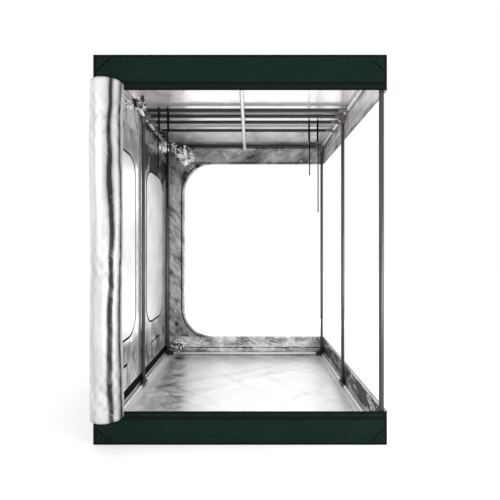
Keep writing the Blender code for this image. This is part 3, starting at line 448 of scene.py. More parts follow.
class Finish:
    """A material and the nodes that make its colour, roughness and relief."""

    def __init__(self, name, colour, roughness, metallic=0.0, specular=0.5):
        self.material = bpy.data.materials.new(name)
        self.material.use_nodes = True
        self.material.diffuse_color = (*colour, 1.0)
        self.tree = self.material.node_tree
        self.shader = self.tree.nodes["Principled BSDF"]
        self.give(Base_Color=(*colour, 1.0), Roughness=roughness, Metallic=metallic, Specular_IOR_Level=specular)

    def give(self, **channels):
        """Sets channels of the shader to signals or plain values."""
        for channel, value in channels.items():
            self.join(value, self.shader.inputs[channel.replace("_", " ")])

    def join(self, value, socket):
        if isinstance(value, Signal):
            self.tree.links.new(value.socket, socket)
        else:
            socket.default_value = value

    def node(self, kind, output=0, settings=None, **inputs):
        """A new node with some inputs by name or number, and one of its outputs."""
        made = self.tree.nodes.new(kind)
        for key, value in (settings or {}).items():
            setattr(made, key, value)
        for key, value in inputs.items():
            self.join(value, made.inputs[int(key[1:]) if key[0] == "_" else key.replace("_", " ")])
        return Signal(self, made.outputs[output])

    def sum(self, operation, first, second=0.0):
        return self.node("ShaderNodeMath", 0, {"operation": operation}, _0=first, _1=second)

    def shifted(self, place, shift):
        return self.node("ShaderNodeVectorMath", 0, {"operation": "ADD"}, _0=place, _1=shift)

    def scaled(self, place, scale):
        return self.node("ShaderNodeVectorMath", 0, {"operation": "MULTIPLY"}, _0=place, _1=scale)

    def turned(self, place, angle):
        settings = {"rotation_type": "Z_AXIS"}
        return self.node("ShaderNodeVectorRotate", 0, settings, Vector=place, Angle=math.radians(angle))

    def map(self):
        return self.node("ShaderNodeUVMap", "UV", {"uv_map": MAP})

    def object_place(self):
        return self.node("ShaderNodeTexCoord", "Object")

    def shade(self):
        return self.node("ShaderNodeAttribute", "Fac", {"attribute_name": SHADE})

    def coordinate(self, place, axis):
        return self.node("ShaderNodeSeparateXYZ", axis, Vector=place)

    def noise(self, place, scale, detail=3.0, roughness=0.55, output="Fac"):
        inputs = {"Vector": place, "Scale": scale, "Detail": detail, "Roughness": roughness}
        return self.node("ShaderNodeTexNoise", output, **inputs)

    def fold_edge(self, place, size):
        """How far each point is from the nearest fold line."""
        return self.node("ShaderNodeTexVoronoi", 0, {"feature": "DISTANCE_TO_EDGE"}, Vector=place, Scale=size)

    def between(self, share, low, high, start=0.0, end=1.0):
        """A number that goes from low to high as the share goes from start to end."""
        ends = {"From_Min": start, "From_Max": end, "To_Min": low, "To_Max": high}
        return self.node("ShaderNodeMapRange", "Result", Value=share, **ends)

    def blend(self, share, first, second):
        """A colour between two others, each a signal or three numbers."""
        first, second = (part if isinstance(part, Signal) else (*part, 1.0) for part in (first, second))
        return self.node("ShaderNodeMix", 2, {"data_type": "RGBA"}, Factor=share, _6=first, _7=second)

    def tones(self, share, colour, low, high):
        """A colour that goes from low to high times its brightness."""
        return self.blend(share, toned(colour, low), toned(colour, high))

    def stripes(self, along, pitch):
        """Waves from -1 to 1 along a length, one to each pitch."""
        return self.sum("SINE", along * (math.tau / pitch))

    def relief(self, height, depth, strength=1.0):
        self.give(Normal=self.node("ShaderNodeBump", 0, Height=height, Distance=depth, Strength=strength))


def toned(colour, factor):
    return tuple(factor * part for part in colour)


def woven_finish(name, colour, contrast=0.75, thread=0.0012, wrinkles=0.0):
    """Coarse woven cloth: crossing threads, uneven dye and a dull face."""
    finish = Finish(name, colour, 0.85, specular=0.04)
    place = finish.map()
    across, down = (finish.stripes(finish.coordinate(place, axis), thread) for axis in "XY")
    weave = across * down
    grain = finish.noise(place, 175.0, 3.0, 0.7)
    blotch = finish.noise(place, 9.0, 2.0)
    share = finish.between(grain, -2.2, 3.2) + weave * 0.22 + finish.between(blotch, -0.18, 0.18)
    height = weave * 0.5 + grain * 1.4
    # The wrinkles add relief and a painted sheen: the colour is lighter along their lines.
    if wrinkles:
        wrinkle = finish.noise(finish.scaled(place, (1.0, 0.45, 1.0)), 4.0, 4.0, 0.6)
        ridge = abs(finish.between(wrinkle, -1.0, 1.0))
        share = share + finish.between(ridge, wrinkles, 0.0, 0.0, 0.12)
        height = height + finish.between(ridge, 8.0 * wrinkles, 0.0, 0.0, 0.2)
    finish.give(Base_Color=finish.tones(share, colour, 1 - contrast, 1 + contrast))
    finish.give(Roughness=finish.between(grain, 0.68, 0.92))
    finish.relief(height, 0.0004, 0.7)
    return finish.material


def film_finish(name, colour, painted_shade_colour, folds=0.5, scale=1.0, drawn=(1.0, 1.0), turn=0.0, metallic=0.5,
                roughness=0.32, breaks=0.6, painted_glints=0.0):
    """Reflective film on cloth: flat facets between sharp fold lines, drawn out one way where it is pulled.

    The colour is painted shade and painted reflection. The tone is 1 for film that mirrors the room and 0 for a
    hollow, painted dark, which also mirrors little.
    """
    finish = Finish(name, colour, roughness, metallic)
    place = finish.map()
    laid = finish.scaled(finish.turned(place, turn), (scale * drawn[0], scale * drawn[1], 1.0))
    wander = finish.noise(laid, 2.2, 2.0, 0.5, "Color")
    bent = finish.shifted(laid, finish.scaled(wander, (0.16, 0.16, 0.0)))
    # Painted reflection: a soft tone that wanders over the film, with broad and close streaks of lighter and darker
    # film.
    tone = finish.between(finish.noise(laid, 1.7, 4.0, 0.6), 1.03 + 0.3 * folds, 0.95 - 0.3 * folds)
    broad = finish.between(finish.noise(laid, 3.6, 3.0, 0.6), 0.0, 1.0, 0.36, 0.64)
    close = finish.sum("FRACT", finish.noise(finish.shifted(bent, (3.1, 1.7, 0.0)), 9.0, 1.6, 0.42) * 2.6)
    bend = broad * 0.6 + close * 0.4
    tone = tone + finish.between(bend, -0.4 * folds, 0.4 * folds, 0.1, 0.9)
    height = 0.0
    # Each fold size gives each facet a painted tone, and each fold line a painted dark line with a painted highlight
    # just beside it, as well as relief.
    for size, weight, line in FOLD_SIZES:
        cell = finish.node("ShaderNodeTexVoronoi", "Color", Vector=bent, Scale=size)
        edge = finish.fold_edge(bent, size)
        beside = finish.fold_edge(finish.shifted(bent, (0.035 / size, 0.05 / size, 0.0)), size)
        here = finish.between(finish.noise(laid, size * 0.45, 2.0), 0.0, 1.0, 0.46, 0.6)
        dark = finish.between(edge, 1.1 * folds * line, 0.0, 0.0, 0.04) * here
        light = finish.between(beside, 0.8 * folds * line, 0.0, 0.0, 0.05) * here
        facet = finish.between(finish.coordinate(cell, "X"), -0.36 * folds * weight, 0.36 * folds * weight)
        tone = tone + facet - dark + light
        height = height + finish.between(edge, 0.0, weight / size, 0.0, 0.16)
    # Painted shade from the shade attribute, broken up by the streaks.
    tone = tone - finish.shade() * finish.between(bend, 1 + breaks, 1 - breaks, 0.15, 0.85)
    # Painted glints: thin bright slanting lines in patches.
    if painted_glints:
        for lean in PAINTED_GLINT_LEANS:
            ruled = finish.noise(finish.scaled(finish.turned(place, lean), PAINTED_GLINT_STRETCH), 1.0, 1.0, 0.4)
            patch = finish.between(finish.noise(place, 7.0, 2.0), 0.0, 1.0, 0.48, 0.58)
            tone = tone + finish.between(ruled, 0.0, painted_glints, 0.64, 0.72) * patch
    held = finish.node("ShaderNodeClamp", Value=tone)
    grain = finish.noise(place, 420.0, 2.0)
    # The colour runs from the painted shade colour, where the film is painted dark, to the film colour; painted
    # hollows also mirror less.
    finish.give(
        Base_Color=finish.blend(held, painted_shade_colour, colour),
        Metallic=finish.between(held, 0.25 * metallic, metallic, 0.0, 0.6),
        Specular_IOR_Level=finish.between(held, 0.08, 0.5, 0.0, 0.6),
        Roughness=finish.between(grain, roughness - 0.08, roughness + 0.14),
    )
    finish.relief(height + grain * 0.004, 0.03 * folds / scale, 0.6)
    return finish.material


def tape_finish(name, colour, pitch=0.0022):
    """Ribbed tape or binding."""
    finish = Finish(name, colour, 0.8, specular=0.04)
    place = finish.map()
    ribs = finish.stripes(finish.coordinate(place, "X"), pitch)
    grain = finish.noise(place, 300.0, 3.0, 0.65)
    share = finish.between(grain, -0.3, 1.3) + ribs * 0.2
    finish.give(Base_Color=finish.tones(share, colour, 0.6, 1.4), Roughness=finish.between(grain, 0.6, 0.85))
    finish.relief(ribs + grain, 0.0003, 0.8)
    return finish.material


def coil_finish(name, colour):
    """The coil of a zip: close bright turns over a dark core."""
    finish = Finish(name, colour, 0.55, specular=0.08)
    turns = finish.stripes(finish.coordinate(finish.map(), "X"), 0.0019)
    share = finish.between(turns, 0.0, 1.0)
    finish.give(Base_Color=finish.tones(share, colour, 0.4, 1.3), Roughness=finish.between(share, 0.6, 0.35))
    finish.relief(turns, 0.0006, 0.9)
    return finish.material


def steel_finish(name, colour, roughness, metallic, speckle=0.12, coat=0.0, end_colour=None):
    """Enamelled or steel part: fine orange peel, faint rubs and dust. The rails' bright colour is a painted
    reflection.
    A bar's sleeved ends have their own colour.
    """
    finish = Finish(name, colour, roughness, metallic)
    place = finish.object_place()
    peel = finish.noise(place, 900.0, 2.0)
    rubs = finish.noise(place, 40.0, 5.0, 0.65)
    paint = finish.tones(rubs, colour, 1 - speckle, 1 + speckle)
    if end_colour:
        at_end = finish.sum("GREATER_THAN", abs(finish.coordinate(place, "X")), BAR_SLEEVE_START)
        paint = finish.blend(at_end, paint, end_colour)
    dull = finish.between(rubs, roughness - 0.07, roughness + 0.12)
    finish.give(Base_Color=paint, Roughness=dull, Coat_Weight=coat)
    finish.relief(peel, 0.0002, 0.25)
    return finish.material


def braid_finish(name, colour):
    """Braided cord: slanting strands both ways round it."""
    finish = Finish(name, colour, 0.8, specular=0.05)
    place = finish.object_place()
    height, across = finish.coordinate(place, "Z"), finish.coordinate(place, "X")
    strands = finish.stripes(height + across * 0.9, 0.0034) * finish.stripes(height - across * 0.9, 0.0034)
    grain = finish.noise(place, 700.0, 2.0)
    share = finish.between(strands, 0.2, 0.9) + finish.between(grain, -0.2, 0.2)
    finish.give(Base_Color=finish.tones(share, colour, 0.5, 2.2), Roughness=finish.between(grain, 0.6, 0.9))
    finish.relief(strands, 0.0005, 0.7)
    return finish.material


def stage_finish(name, colour, lift):
    """Pale floor that keeps shadows and reads as white where nothing shades it."""
    finish = Finish(name, colour, 0.9, specular=0.0)
    seen = finish.node("ShaderNodeLightPath", SEEN_RAYS[0])
    for other in SEEN_RAYS[1:]:
        seen = finish.sum("MAXIMUM", seen, finish.node("ShaderNodeLightPath", other))
    tint = finish.noise(finish.object_place(), 2.0, 2.0)
    finish.give(Emission_Color=WHITE, Emission_Strength=seen * lift)
    finish.give(Base_Color=finish.tones(tint, colour, 0.985, 1))
    return finish.material


def named_finish(context, name):
    """A finish by its name, made when it is first asked for."""
    if name in bpy.data.materials:
        return bpy.data.materials[name]
    scene = context.scene
    cloths, films, metals = scene.grow_tent_cloth, scene.grow_tent_film, scene.grow_tent_frame
    if name in FILMS:
        return film_finish(name, tuple(films.film_colour), tuple(films.painted_shade_colour), **FILMS[name])
    pole, socket = tuple(metals.pole_colour), tuple(metals.socket_colour)
    # A darker copy of the pole enamel for the cross poles and bars, as painted shade.
    pole_painted_dark = toned(pole, CROSS_POLE_SHADE_TONE)
    maker, colour, kind = {
        "band_cloth_green": (woven_finish, cloths.band_colour, {}),
        "outside_cloth_black": (woven_finish, cloths.backing_colour, {"contrast": 0.5, "wrinkles": 0.5}),
        "band_binding": (tape_finish, cloths.binding_colour, {}),
        "zip_tape": (tape_finish, cloths.zip_colour, {"pitch": 0.0015}),
        "seam_thread_black": (tape_finish, THREAD_COLOUR, {"pitch": 0.0011}),
        "zip_coil": (coil_finish, cloths.zip_colour, {}),
        "cord_braid": (braid_finish, scene.grow_tent_cords.cord_colour, {}),
        "lock_plastic": (steel_finish, LOCK_COLOUR, {"roughness": 0.5, "metallic": 0.0, "speckle": 0.3}),
        "pole_enamel_dark": (steel_finish, pole, {"roughness": 0.3, "metallic": 0.55, "coat": 0.15}),
        "cross_pole_enamel": (steel_finish, pole_painted_dark, {"roughness": 0.3, "metallic": 0.3, "coat": 0.1}),
        "bar_enamel_sleeved": (
            steel_finish, pole_painted_dark, {"roughness": 0.3, "metallic": 0.3, "coat": 0.1, "end_colour": socket}),
        "rail_zinc": (steel_finish, metals.rail_painted_bright_colour, {"roughness": 0.3, "metallic": 0.5, "speckle": 0.06}),
        "socket_enamel_brown": (steel_finish, socket, {"roughness": 0.42, "metallic": 0.25, "speckle": 0.18}),
        "button_steel_bright": (steel_finish, BUTTON_COLOUR, {"roughness": 0.26, "metallic": 1.0}),
        "slider_lacquer": (steel_finish, metals.slider_colour, {"roughness": 0.35, "metallic": 0.4}),
    }[name]
    return maker(name, tuple(colour), **kind)


BAND_FINISHES = ("band_cloth_green", "band_binding", "zip_tape", "zip_coil")


# Settings


def colour_setting(name, description, default):
    return FloatVectorProperty(
        name=name, description=description, default=default, subtype="COLOR", size=3, min=0.0, max=1.0
    )


def length_setting(name, description, default):
    return FloatProperty(name=name, description=description, default=default, min=0.0, unit="LENGTH", precision=4)


class GrowTentClothSettings(bpy.types.PropertyGroup):
    """Colours of the woven cloth, its binding and its zips."""

    band_colour: colour_setting("Band", "Dark green woven cloth of the two bands", (0.0066, 0.0167, 0.0135))
    binding_colour: colour_setting("Binding", "Folded tape along the edges of the bands", (0.0042, 0.0078, 0.0062))
    zip_colour: colour_setting("Zip", "Tape and coil of the zips", (0.0056, 0.0104, 0.0083))
    backing_colour: colour_setting("Outside", "Black cloth outside the walls", (0.008, 0.0085, 0.009))
    ripple: length_setting("Ripple", "How far the bands' cloth waves in and out", 0.0008)


class GrowTentFilmSettings(bpy.types.PropertyGroup):
    """Colours and folds of the reflective film inside."""

    film_colour: colour_setting("Film", "Film where it faces the light", (0.9, 0.89, 0.885))
    # The crease colour is painted shade: the film's colour where hollows, folds and shaded zones are painted dark.
    painted_shade_colour: colour_setting("Crease", "Film in its hollows and folds", (0.03, 0.028, 0.0275))
    fold_depth: length_setting("Fold depth", "How far the film's folds stand up", 0.0022)


class GrowTentFrameSettings(bpy.types.PropertyGroup):
    """Colours of the steel frame."""

    pole_colour: colour_setting("Poles", "Dark enamel of the uprights, cross poles and bars", (0.05, 0.05, 0.0525))
    # The rails' bright colour is a painted reflection, for steel that has the poles' dark enamel.
    rail_painted_bright_colour: colour_setting("Rails", "Bright plating of the rails that run along the sides", (0.74, 0.73, 0.725))
    socket_colour: colour_setting("Sockets", "Enamel of the corner and T sockets", (0.16, 0.145, 0.137))
    slider_colour: colour_setting("Sliders", "Lacquer of the zip sliders", (0.02, 0.021, 0.02))


class GrowTentDoorSettings(bpy.types.PropertyGroup):
    """How the front door is rolled up."""

    turns: IntProperty(name="Turns", description="How often the door is wound round itself", default=3, min=1, max=5)
    spacing: length_setting("Spacing", "From one turn of the rolled door to the next", 0.0085)
    wrinkle: length_setting("Wrinkles", "How deep the slanting wrinkles of the roll are", 0.0026)


class GrowTentCordSettings(bpy.types.PropertyGroup):
    """Sizes and colour of the cords."""

    cord_colour: colour_setting("Cord", "Black braid of the cords", (0.003, 0.003, 0.003))
    cord_diameter: length_setting("Hanging cord", "Thickness of the two hanging cords", 0.008)
    drawcord_diameter: length_setting("Drawcord", "Thickness of the cords that tie the sleeves", 0.0034)


class GrowTentStageSettings(bpy.types.PropertyGroup):
    """Floor, light and camera."""

    floor_colour: colour_setting("Floor", "The pale floor under the tent", (0.9, 0.9, 0.9))
    camera_place: FloatVectorProperty(
        name="Camera", description="Where the camera stands", default=(0.051, -2.491, 0.9988), subtype="TRANSLATION"
    )
    lens: FloatProperty(name="Lens", description="Focal length", default=24.4, min=1.0, unit="CAMERA")
    room_light: FloatProperty(name="Room light", description="Light from all round", default=0.86, min=0.0)
    lamp_power: FloatProperty(name="Lamps", description="Power of the main lamp", default=12.0, min=0.0, unit="POWER")


# Bands


class BandLine:
    """The outside line of a band: its points, which way is out, lengths, sides, and distances from a corner."""

    def __init__(self, step=0.011):
        reach = OUTER - CORNER_RADIUS
        run = 2 * reach
        near = [0, 0.003, 0.0045, 0.008, 0.0125]
        places = np.concatenate([near, steps(0.02, run - 0.02, step), [run - place for place in reversed(near)]])
        rows = []
        for side, ends in BAND_SIDES.items():
            start, end = (np.array(corner) * reach for corner in ends)
            along = (end - start) / np.linalg.norm(end - start)
            out = np.array((along[1], -along[0]))
            for place in places:
                margin = min(place, run - place) + CORNER_RADIUS
                rows.append((start + along * place + out * CORNER_RADIUS, out, side, margin))
            for i in range(1, 4):
                turn = math.radians(90 * i / 4)
                direction = out * math.cos(turn) + along * math.sin(turn)
                rows.append((end + direction * CORNER_RADIUS, direction, "corner", 0))
        self.points, self.outward, self.sides, self.margins = (np.array(column) for column in zip(*rows))
        self.lengths = line_lengths(self.points)

    def moved(self, out, heights):
        """The line moved out by each number of a grid, at each height."""
        flat = self.points[None] + self.outward[None] * out[..., None]
        return joined(flat[..., 0], flat[..., 1], heights)

    def on(self, side):
        """Whether each point is on one side, as a row."""
        return (self.sides == side)[None, :]


def band_rows(low, high, zip_low, zip_high):
    """Rows up the outside of a band: bound edges, plain cloth and the zip, which has tape, coil and tape."""
    middle = (zip_low + zip_high) / 2
    below = [(low + BINDING + 0.003, 0.0002, "cloth")]
    if zip_low - low > NARROW_CLOTH:
        below = [(z, 0.0, "cloth") for z in steps(low + BINDING + 0.006, zip_low - 0.004, 0.012)]
    above = [(high - BINDING - 0.003, 0.0002, "cloth")]
    if high - zip_high > NARROW_CLOTH:
        above = [(z, 0.0, "cloth") for z in steps(zip_high + 0.004, high - BINDING - 0.005, 0.012)]
    return [
        *[(low + z, *rest) for z, *rest in BOUND_EDGE],
        (low + BINDING - 0.001, BOUND_PROUD, "binding"), (low + BINDING, 0.0001, "cloth"),
        *below,
        *[(zip_low + z, *rest) for z, *rest in ZIP_EDGE],
        *[(middle + z, *rest) for z, *rest in ZIP_COIL],
        *[(middle - z, *rest) for z, *rest in reversed(ZIP_COIL[:-1])],
        *[(zip_high - z, *rest) for z, *rest in reversed(ZIP_EDGE)],
        *above,
        (high - BINDING, 0.0001, "cloth"), (high - BINDING + 0.001, BOUND_PROUD, "binding"),
        *[(high - z, *rest) for z, *rest in reversed(BOUND_EDGE)],
    ]


def add_band_outside(made, line, rows, ripple, height_shares=1.0):
    """Adds the outside of a band to a cloth. The height shares lower some of its columns."""
    z, proud = np.array([row[:2] for row in rows]).T
    kinds = np.array([KINDS[row[2]] for row in rows])[:, None]
    proud = proud[:, None]
    has_zip = ((line.sides != "left") & (line.margins > ZIP_MARGIN))[None, :]
    sunk = (proud < -0.00095) | (kinds >= 2)
    stand = np.where(sunk & ~has_zip, 0.0, proud)
    bound_end = (line.margins < BINDING + CORNER_RADIUS * 0.3)[None, :]
    stand = np.where(bound_end & (kinds != 1), BOUND_PROUD, stand)
    u, v = np.meshgrid(line.lengths[:-1], z)
    free = np.clip((line.margins - 0.02) / 0.1, 0, 1)[None, :]
    stand = stand + free * ripple * (0.6 + 0.5 * rumple(u, v * 1.6, 0.16, 4, 2))
    kinds = np.where((kinds >= 2) & has_zip, kinds, np.where(kinds == 1, 1, 0))
    kinds = np.where(bound_end, 1, kinds)
    below, above = kinds[:-1], kinds[1:]
    across = np.where((below == 1) | (above == 1), np.minimum(below, above), np.maximum(below, above))
    across = np.where((below == 1) & (above == 1), 1, across)
    made.add(line.moved(stand, z[:, None] * height_shares), mapped(line.lengths, z), across, True)


def add_lining(made, line, heights, at_edge, depth, limit, places_z, kinds, shade):
    """Adds the silver inside of a band, which starts at its bound edge."""
    inset = np.where(at_edge[:, None], BOUND_PROUD, LINING) + np.clip(depth, 0, limit)
    places = line.moved(-np.minimum(inset, LINING_LIMIT), places_z)
    made.add(places, mapped(line.lengths, heights), kinds, True, shade)
    return places


def on_face(corner, spots, reach):
    """Points on a band's face beside a corner, from how far along the face they are and how high."""
    sx, sy, face = corner
    flat = OUTER - spots[..., 0]
    x, y = (flat, reach) if face == "y" else (reach, flat)
    return joined(sx * x, sy * y, spots[..., 1])


def add_thread(made, corner, line, across, profile, flat):
    """A strip of thread or tape along a line on a corner patch."""
    face = OUTER + PATCH_SEAT + PATCH_THICK
    made.add(np.array([on_face(corner, line + across * place, face + lift) for place, lift in profile]), flat, 1)


def corner_patches(context, name, edge, down):
    """Three-cornered reinforcing patches stitched across the ends of a band's faces.

    Edge is the height of the band's binding, and down is 1 or -1, the way from there over the band.
    """
    made = Cloth()
    share = np.linspace(0, 1, PATCH_POINTS)[None, :]
    inset, proud = np.array(PATCH_RINGS).T[..., None]
    across = BINDING + 0.004 + PATCH_LEG * share * (1 - inset)
    patch = np.stack([across, edge + down * PATCH_LEG * (1 - share) * (1 - inset)], -1)
    slope = np.array((1, down)) / math.sqrt(2)
    seam = patch[0, 0] + (patch[0, -1] - patch[0, 0]) * share.T
    seam_flat = mapped(np.linspace(0, 0.096, PATCH_POINTS), (0, 0.0004, 0.0042, 0.0046))
    stitched = patch[0] * 0.955 + patch[3] * 0.045
    first, last = stitched[0], stitched[-1]
    for corner in itertools.product((-1, 1), (-1, 1), "xy"):
        made.add(on_face(corner, patch, OUTER + PATCH_SEAT + proud), patch, 0)
        add_thread(made, corner, seam, -slope, SEAM_PROFILE, seam_flat)
        for middle in np.linspace(0.04, 0.96, STITCHES):
            ends = np.array((middle - STITCH_HALF, middle + STITCH_HALF))[:, None]
            stitch = first + (last - first) * ends
            add_thread(made, corner, stitch, slope * 0.0005, STITCH_PROFILE, mapped((0, 0.004), np.zeros(4)))
    made.object(context, name, ("band_cloth_green", "seam_thread_black"), "tent", "band")


class GROWTENT_OT_roof_cover(bpy.types.Operator):
    """Build the roof with its dark band, zip, binding and silver lining"""

    bl_idname = "growtent.roof_cover"
    bl_label = "Roof cover"

    def execute(self, context):
        made, line = Cloth(), BandLine()
        foot = BAND_FOOT
        zip_low, zip_high = (foot + place for place in ZIP_EDGES)
        add_band_outside(made, line, band_rows(foot, TOP, zip_low, zip_high), context.scene.grow_tent_cloth.ripple)
        self.add_top(made, line)
        heights = np.concatenate([
            foot + np.array((0, 0.002, 0.007, 0.0125, 0.015, 0.0175)),
            steps(foot + 0.022, TOP - 0.0035, CLOTH_STEP), [TOP - 0.0012],
        ])
        u, v = np.meshgrid(line.lengths[:-1], heights)
        depth = 0.0012 * (rumple(u + 0.5 * v, v * 0.4, 0.05, 6) * 0.5 + 0.5)
        depth += 0.001 * creases(u + 0.7 * v, v * 0.5, 0.09, 7)
        depth *= ease(v, foot, foot + 0.01) * np.clip(line.margins / 0.03, 0, 1)[None, :]
        x, y = line.points[:, 0][None, :], line.points[:, 1][None, :]
        # Painted shade on the band's lining: a dark corner painted on the left towards the back, painted grey on the
        # back, painted reflection streaks on the right, and thin darker lines near the foot.
        deep = ease(y, -0.1, 0.1) * line.on("left")
        behind, beside = line.on("back"), line.on("right")
        shade = 0.1 + (0.6 + 0.3 * ease(v, 1.9, 1.96)) * deep
        shade = shade + (0.55 + 0.1 * ease(x, -0.2, 0.1)) * behind - 0.1 * beside
        streaks = 0.45 * creases(u * 0.8 + v, v * 1.2, 0.14, 13, 2.5)
        shade = shade + beside * (streaks + 0.35 * ease(y, 0.0, 0.15) * ease(v, 1.9, 1.94) - 0.05)
        shade = shade + 0.3 * beside * bell(v - foot - 0.07, 0.012) + 0.55 * bell(v - foot - 0.015, 0.0024)
        at_edge = heights < foot + 0.001
        kinds = np.where(at_edge[:-1], 1, 5)[:, None]
        inside = add_lining(made, line, heights, at_edge, depth, 0.0036, v, kinds, shade)
        self.add_ceiling(made, inside[-1])
        films = ("outside_cloth_black", "band_lining_film", "roof_film")
        cover = made.object(context, "roof_cover", (*BAND_FINISHES, *films), "tent", "band")
        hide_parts("roof_cap")
        corner_patches(context, "roof_corner_patches", TOP - BINDING, -1)
        return {"FINISHED"}

    def add_top(self, made, line):
        """The roof's black outside, in rings from the band to its middle."""
        scales = np.array([1.0, 0.985, 0.95, 0.9, 0.8, 0.65, 0.5, 0.35, 0.2, 0.08, 0.0])
        ring = line.points - line.outward * BOUND_PROUD
        flat = ring[None] * scales[:, None, None]
        z = TOP - 0.0006 + 0.0004 * rumple(flat[..., 0], flat[..., 1], 0.3, 5)
        z[0] = TOP
        made.add(joined(flat[..., 0], flat[..., 1], z), wrapped(flat), 4, True)

    def add_ceiling(self, made, edge):
        """The roof's silver inside, in rings from the band's lining to its middle."""
        scales = np.concatenate([[1.0, 0.997, 0.99, 0.975], np.linspace(0.955, 0.0, 58)])
        flat = edge[None, :, :2] * scales[:, None, None]
        x, y = flat[..., 0], flat[..., 1]
        fold = 0.0006 * rumple(x, y, 0.12, 8) + 0.0007 * creases(x + 0.2 * y, y, 0.25, 9)
        z = np.minimum(TOP - 0.0016 + 0.0003 - np.abs(fold) * 0.6, TOP - 0.0009)
        z[0] = TOP - 0.0012
        # Painted shade and painted reflection on the ceiling film: greyer towards the left, along painted fold lines,
        # in a dark strip by the left rail towards the back, and towards the back.
        shade = 0.36 * (1 - ease(x, -0.52, -0.3)) * (0.8 + 0.3 * rumple(x, y * 0.6, 0.12, 10))
        shade = shade + 0.08 * creases(x, y, 0.3, 10, 5)
        shade += 0.5 * ease(-x, 0.66, 0.71) * ease(y, -0.1, 0.1)
        shade += (0.15 + 0.15 * ease(x, -0.1, 0.4)) * ease(y, 0.2, 0.5) + 0.3 * ease(y, 0.62, 0.7) - 0.12
        made.add(joined(x, y, z), wrapped(flat), 6, True, shade)


class GROWTENT_OT_base_band(bpy.types.Operator):
    """Build the dark band round the foot of the tent, with its zip and lining"""

    bl_idname = "growtent.base_band"
    bl_label = "Base band"

    def execute(self, context):
        made, line = Cloth(), BandLine()
        zip_high, zip_low = (SILL - place for place in ZIP_EDGES)
        lowered = line.on("left") & (line.margins > 0.008)[None, :]
        height_shares = np.where(lowered, (WALL_FOOT - GAP) / SILL, 1.0)
        rows = band_rows(0.0, SILL, zip_low, zip_high)
        add_band_outside(made, line, rows, context.scene.grow_tent_cloth.ripple, height_shares)
        heights = np.concatenate([
            [SILL, SILL - 0.002, SILL - 0.008], steps(SILL - 0.02, 0.078, 0.008),
            [0.0735, 0.0705, 0.068, 0.0655, 0.0625], steps(0.055, 0.004, 0.01), [0.0],
        ])
        u, v = np.meshgrid(line.lengths[:-1], heights)
        depth = 0.001 * (rumple(u + 0.6 * v, v * 0.5, 0.05, 11) * 0.5 + 0.5)
        depth += 0.0012 * creases(u, v * 0.6, 0.08, 12)
        depth *= ease(-v, -SILL, -SILL + 0.01) * np.clip(line.margins / 0.03, 0, 1)[None, :]
        rows_up = heights[:-1, None]
        at_edge, in_hem = heights > SILL - 0.001, rows_up > SILL - 0.0085
        black = line.on("left") & (rows_up > 0.064) & ~in_hem
        kinds = np.where(at_edge[:-1, None], 1, np.where(black, 5, 4))
        kinds = np.where(in_hem & line.on("left"), 1, kinds)
        # Painted shade on the sill's lining: a dark middle on the right side as a painted reflection, grey on the
        # back, lighter on the left, and a dark line 68 mm up except on the left, with a lighter strip above it.
        low = ease(SILL - 0.016 - v, 0, 0.012) * ease(v, 0.03, 0.045)
        shade = 0.95 * low * line.on("right") + 0.4 * line.on("back") - 0.1 * line.on("left")
        shade = shade + 1.6 * bell(v - 0.068, 0.003) * ~line.on("left") - 0.15 * bell(v - 0.078, 0.006)
        add_lining(made, line, heights, at_edge, depth, 0.0034, heights[:, None] * height_shares, kinds, shade)
        films = ("sill_film", "outside_cloth_black")
        band = made.object(context, "base_band_cloth", (*BAND_FINISHES, *films), "tent", "band")
        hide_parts("base_band")
        corner_patches(context, "base_corner_patches", BINDING, 1)
        return {"FINISHED"}


# Floor and walls


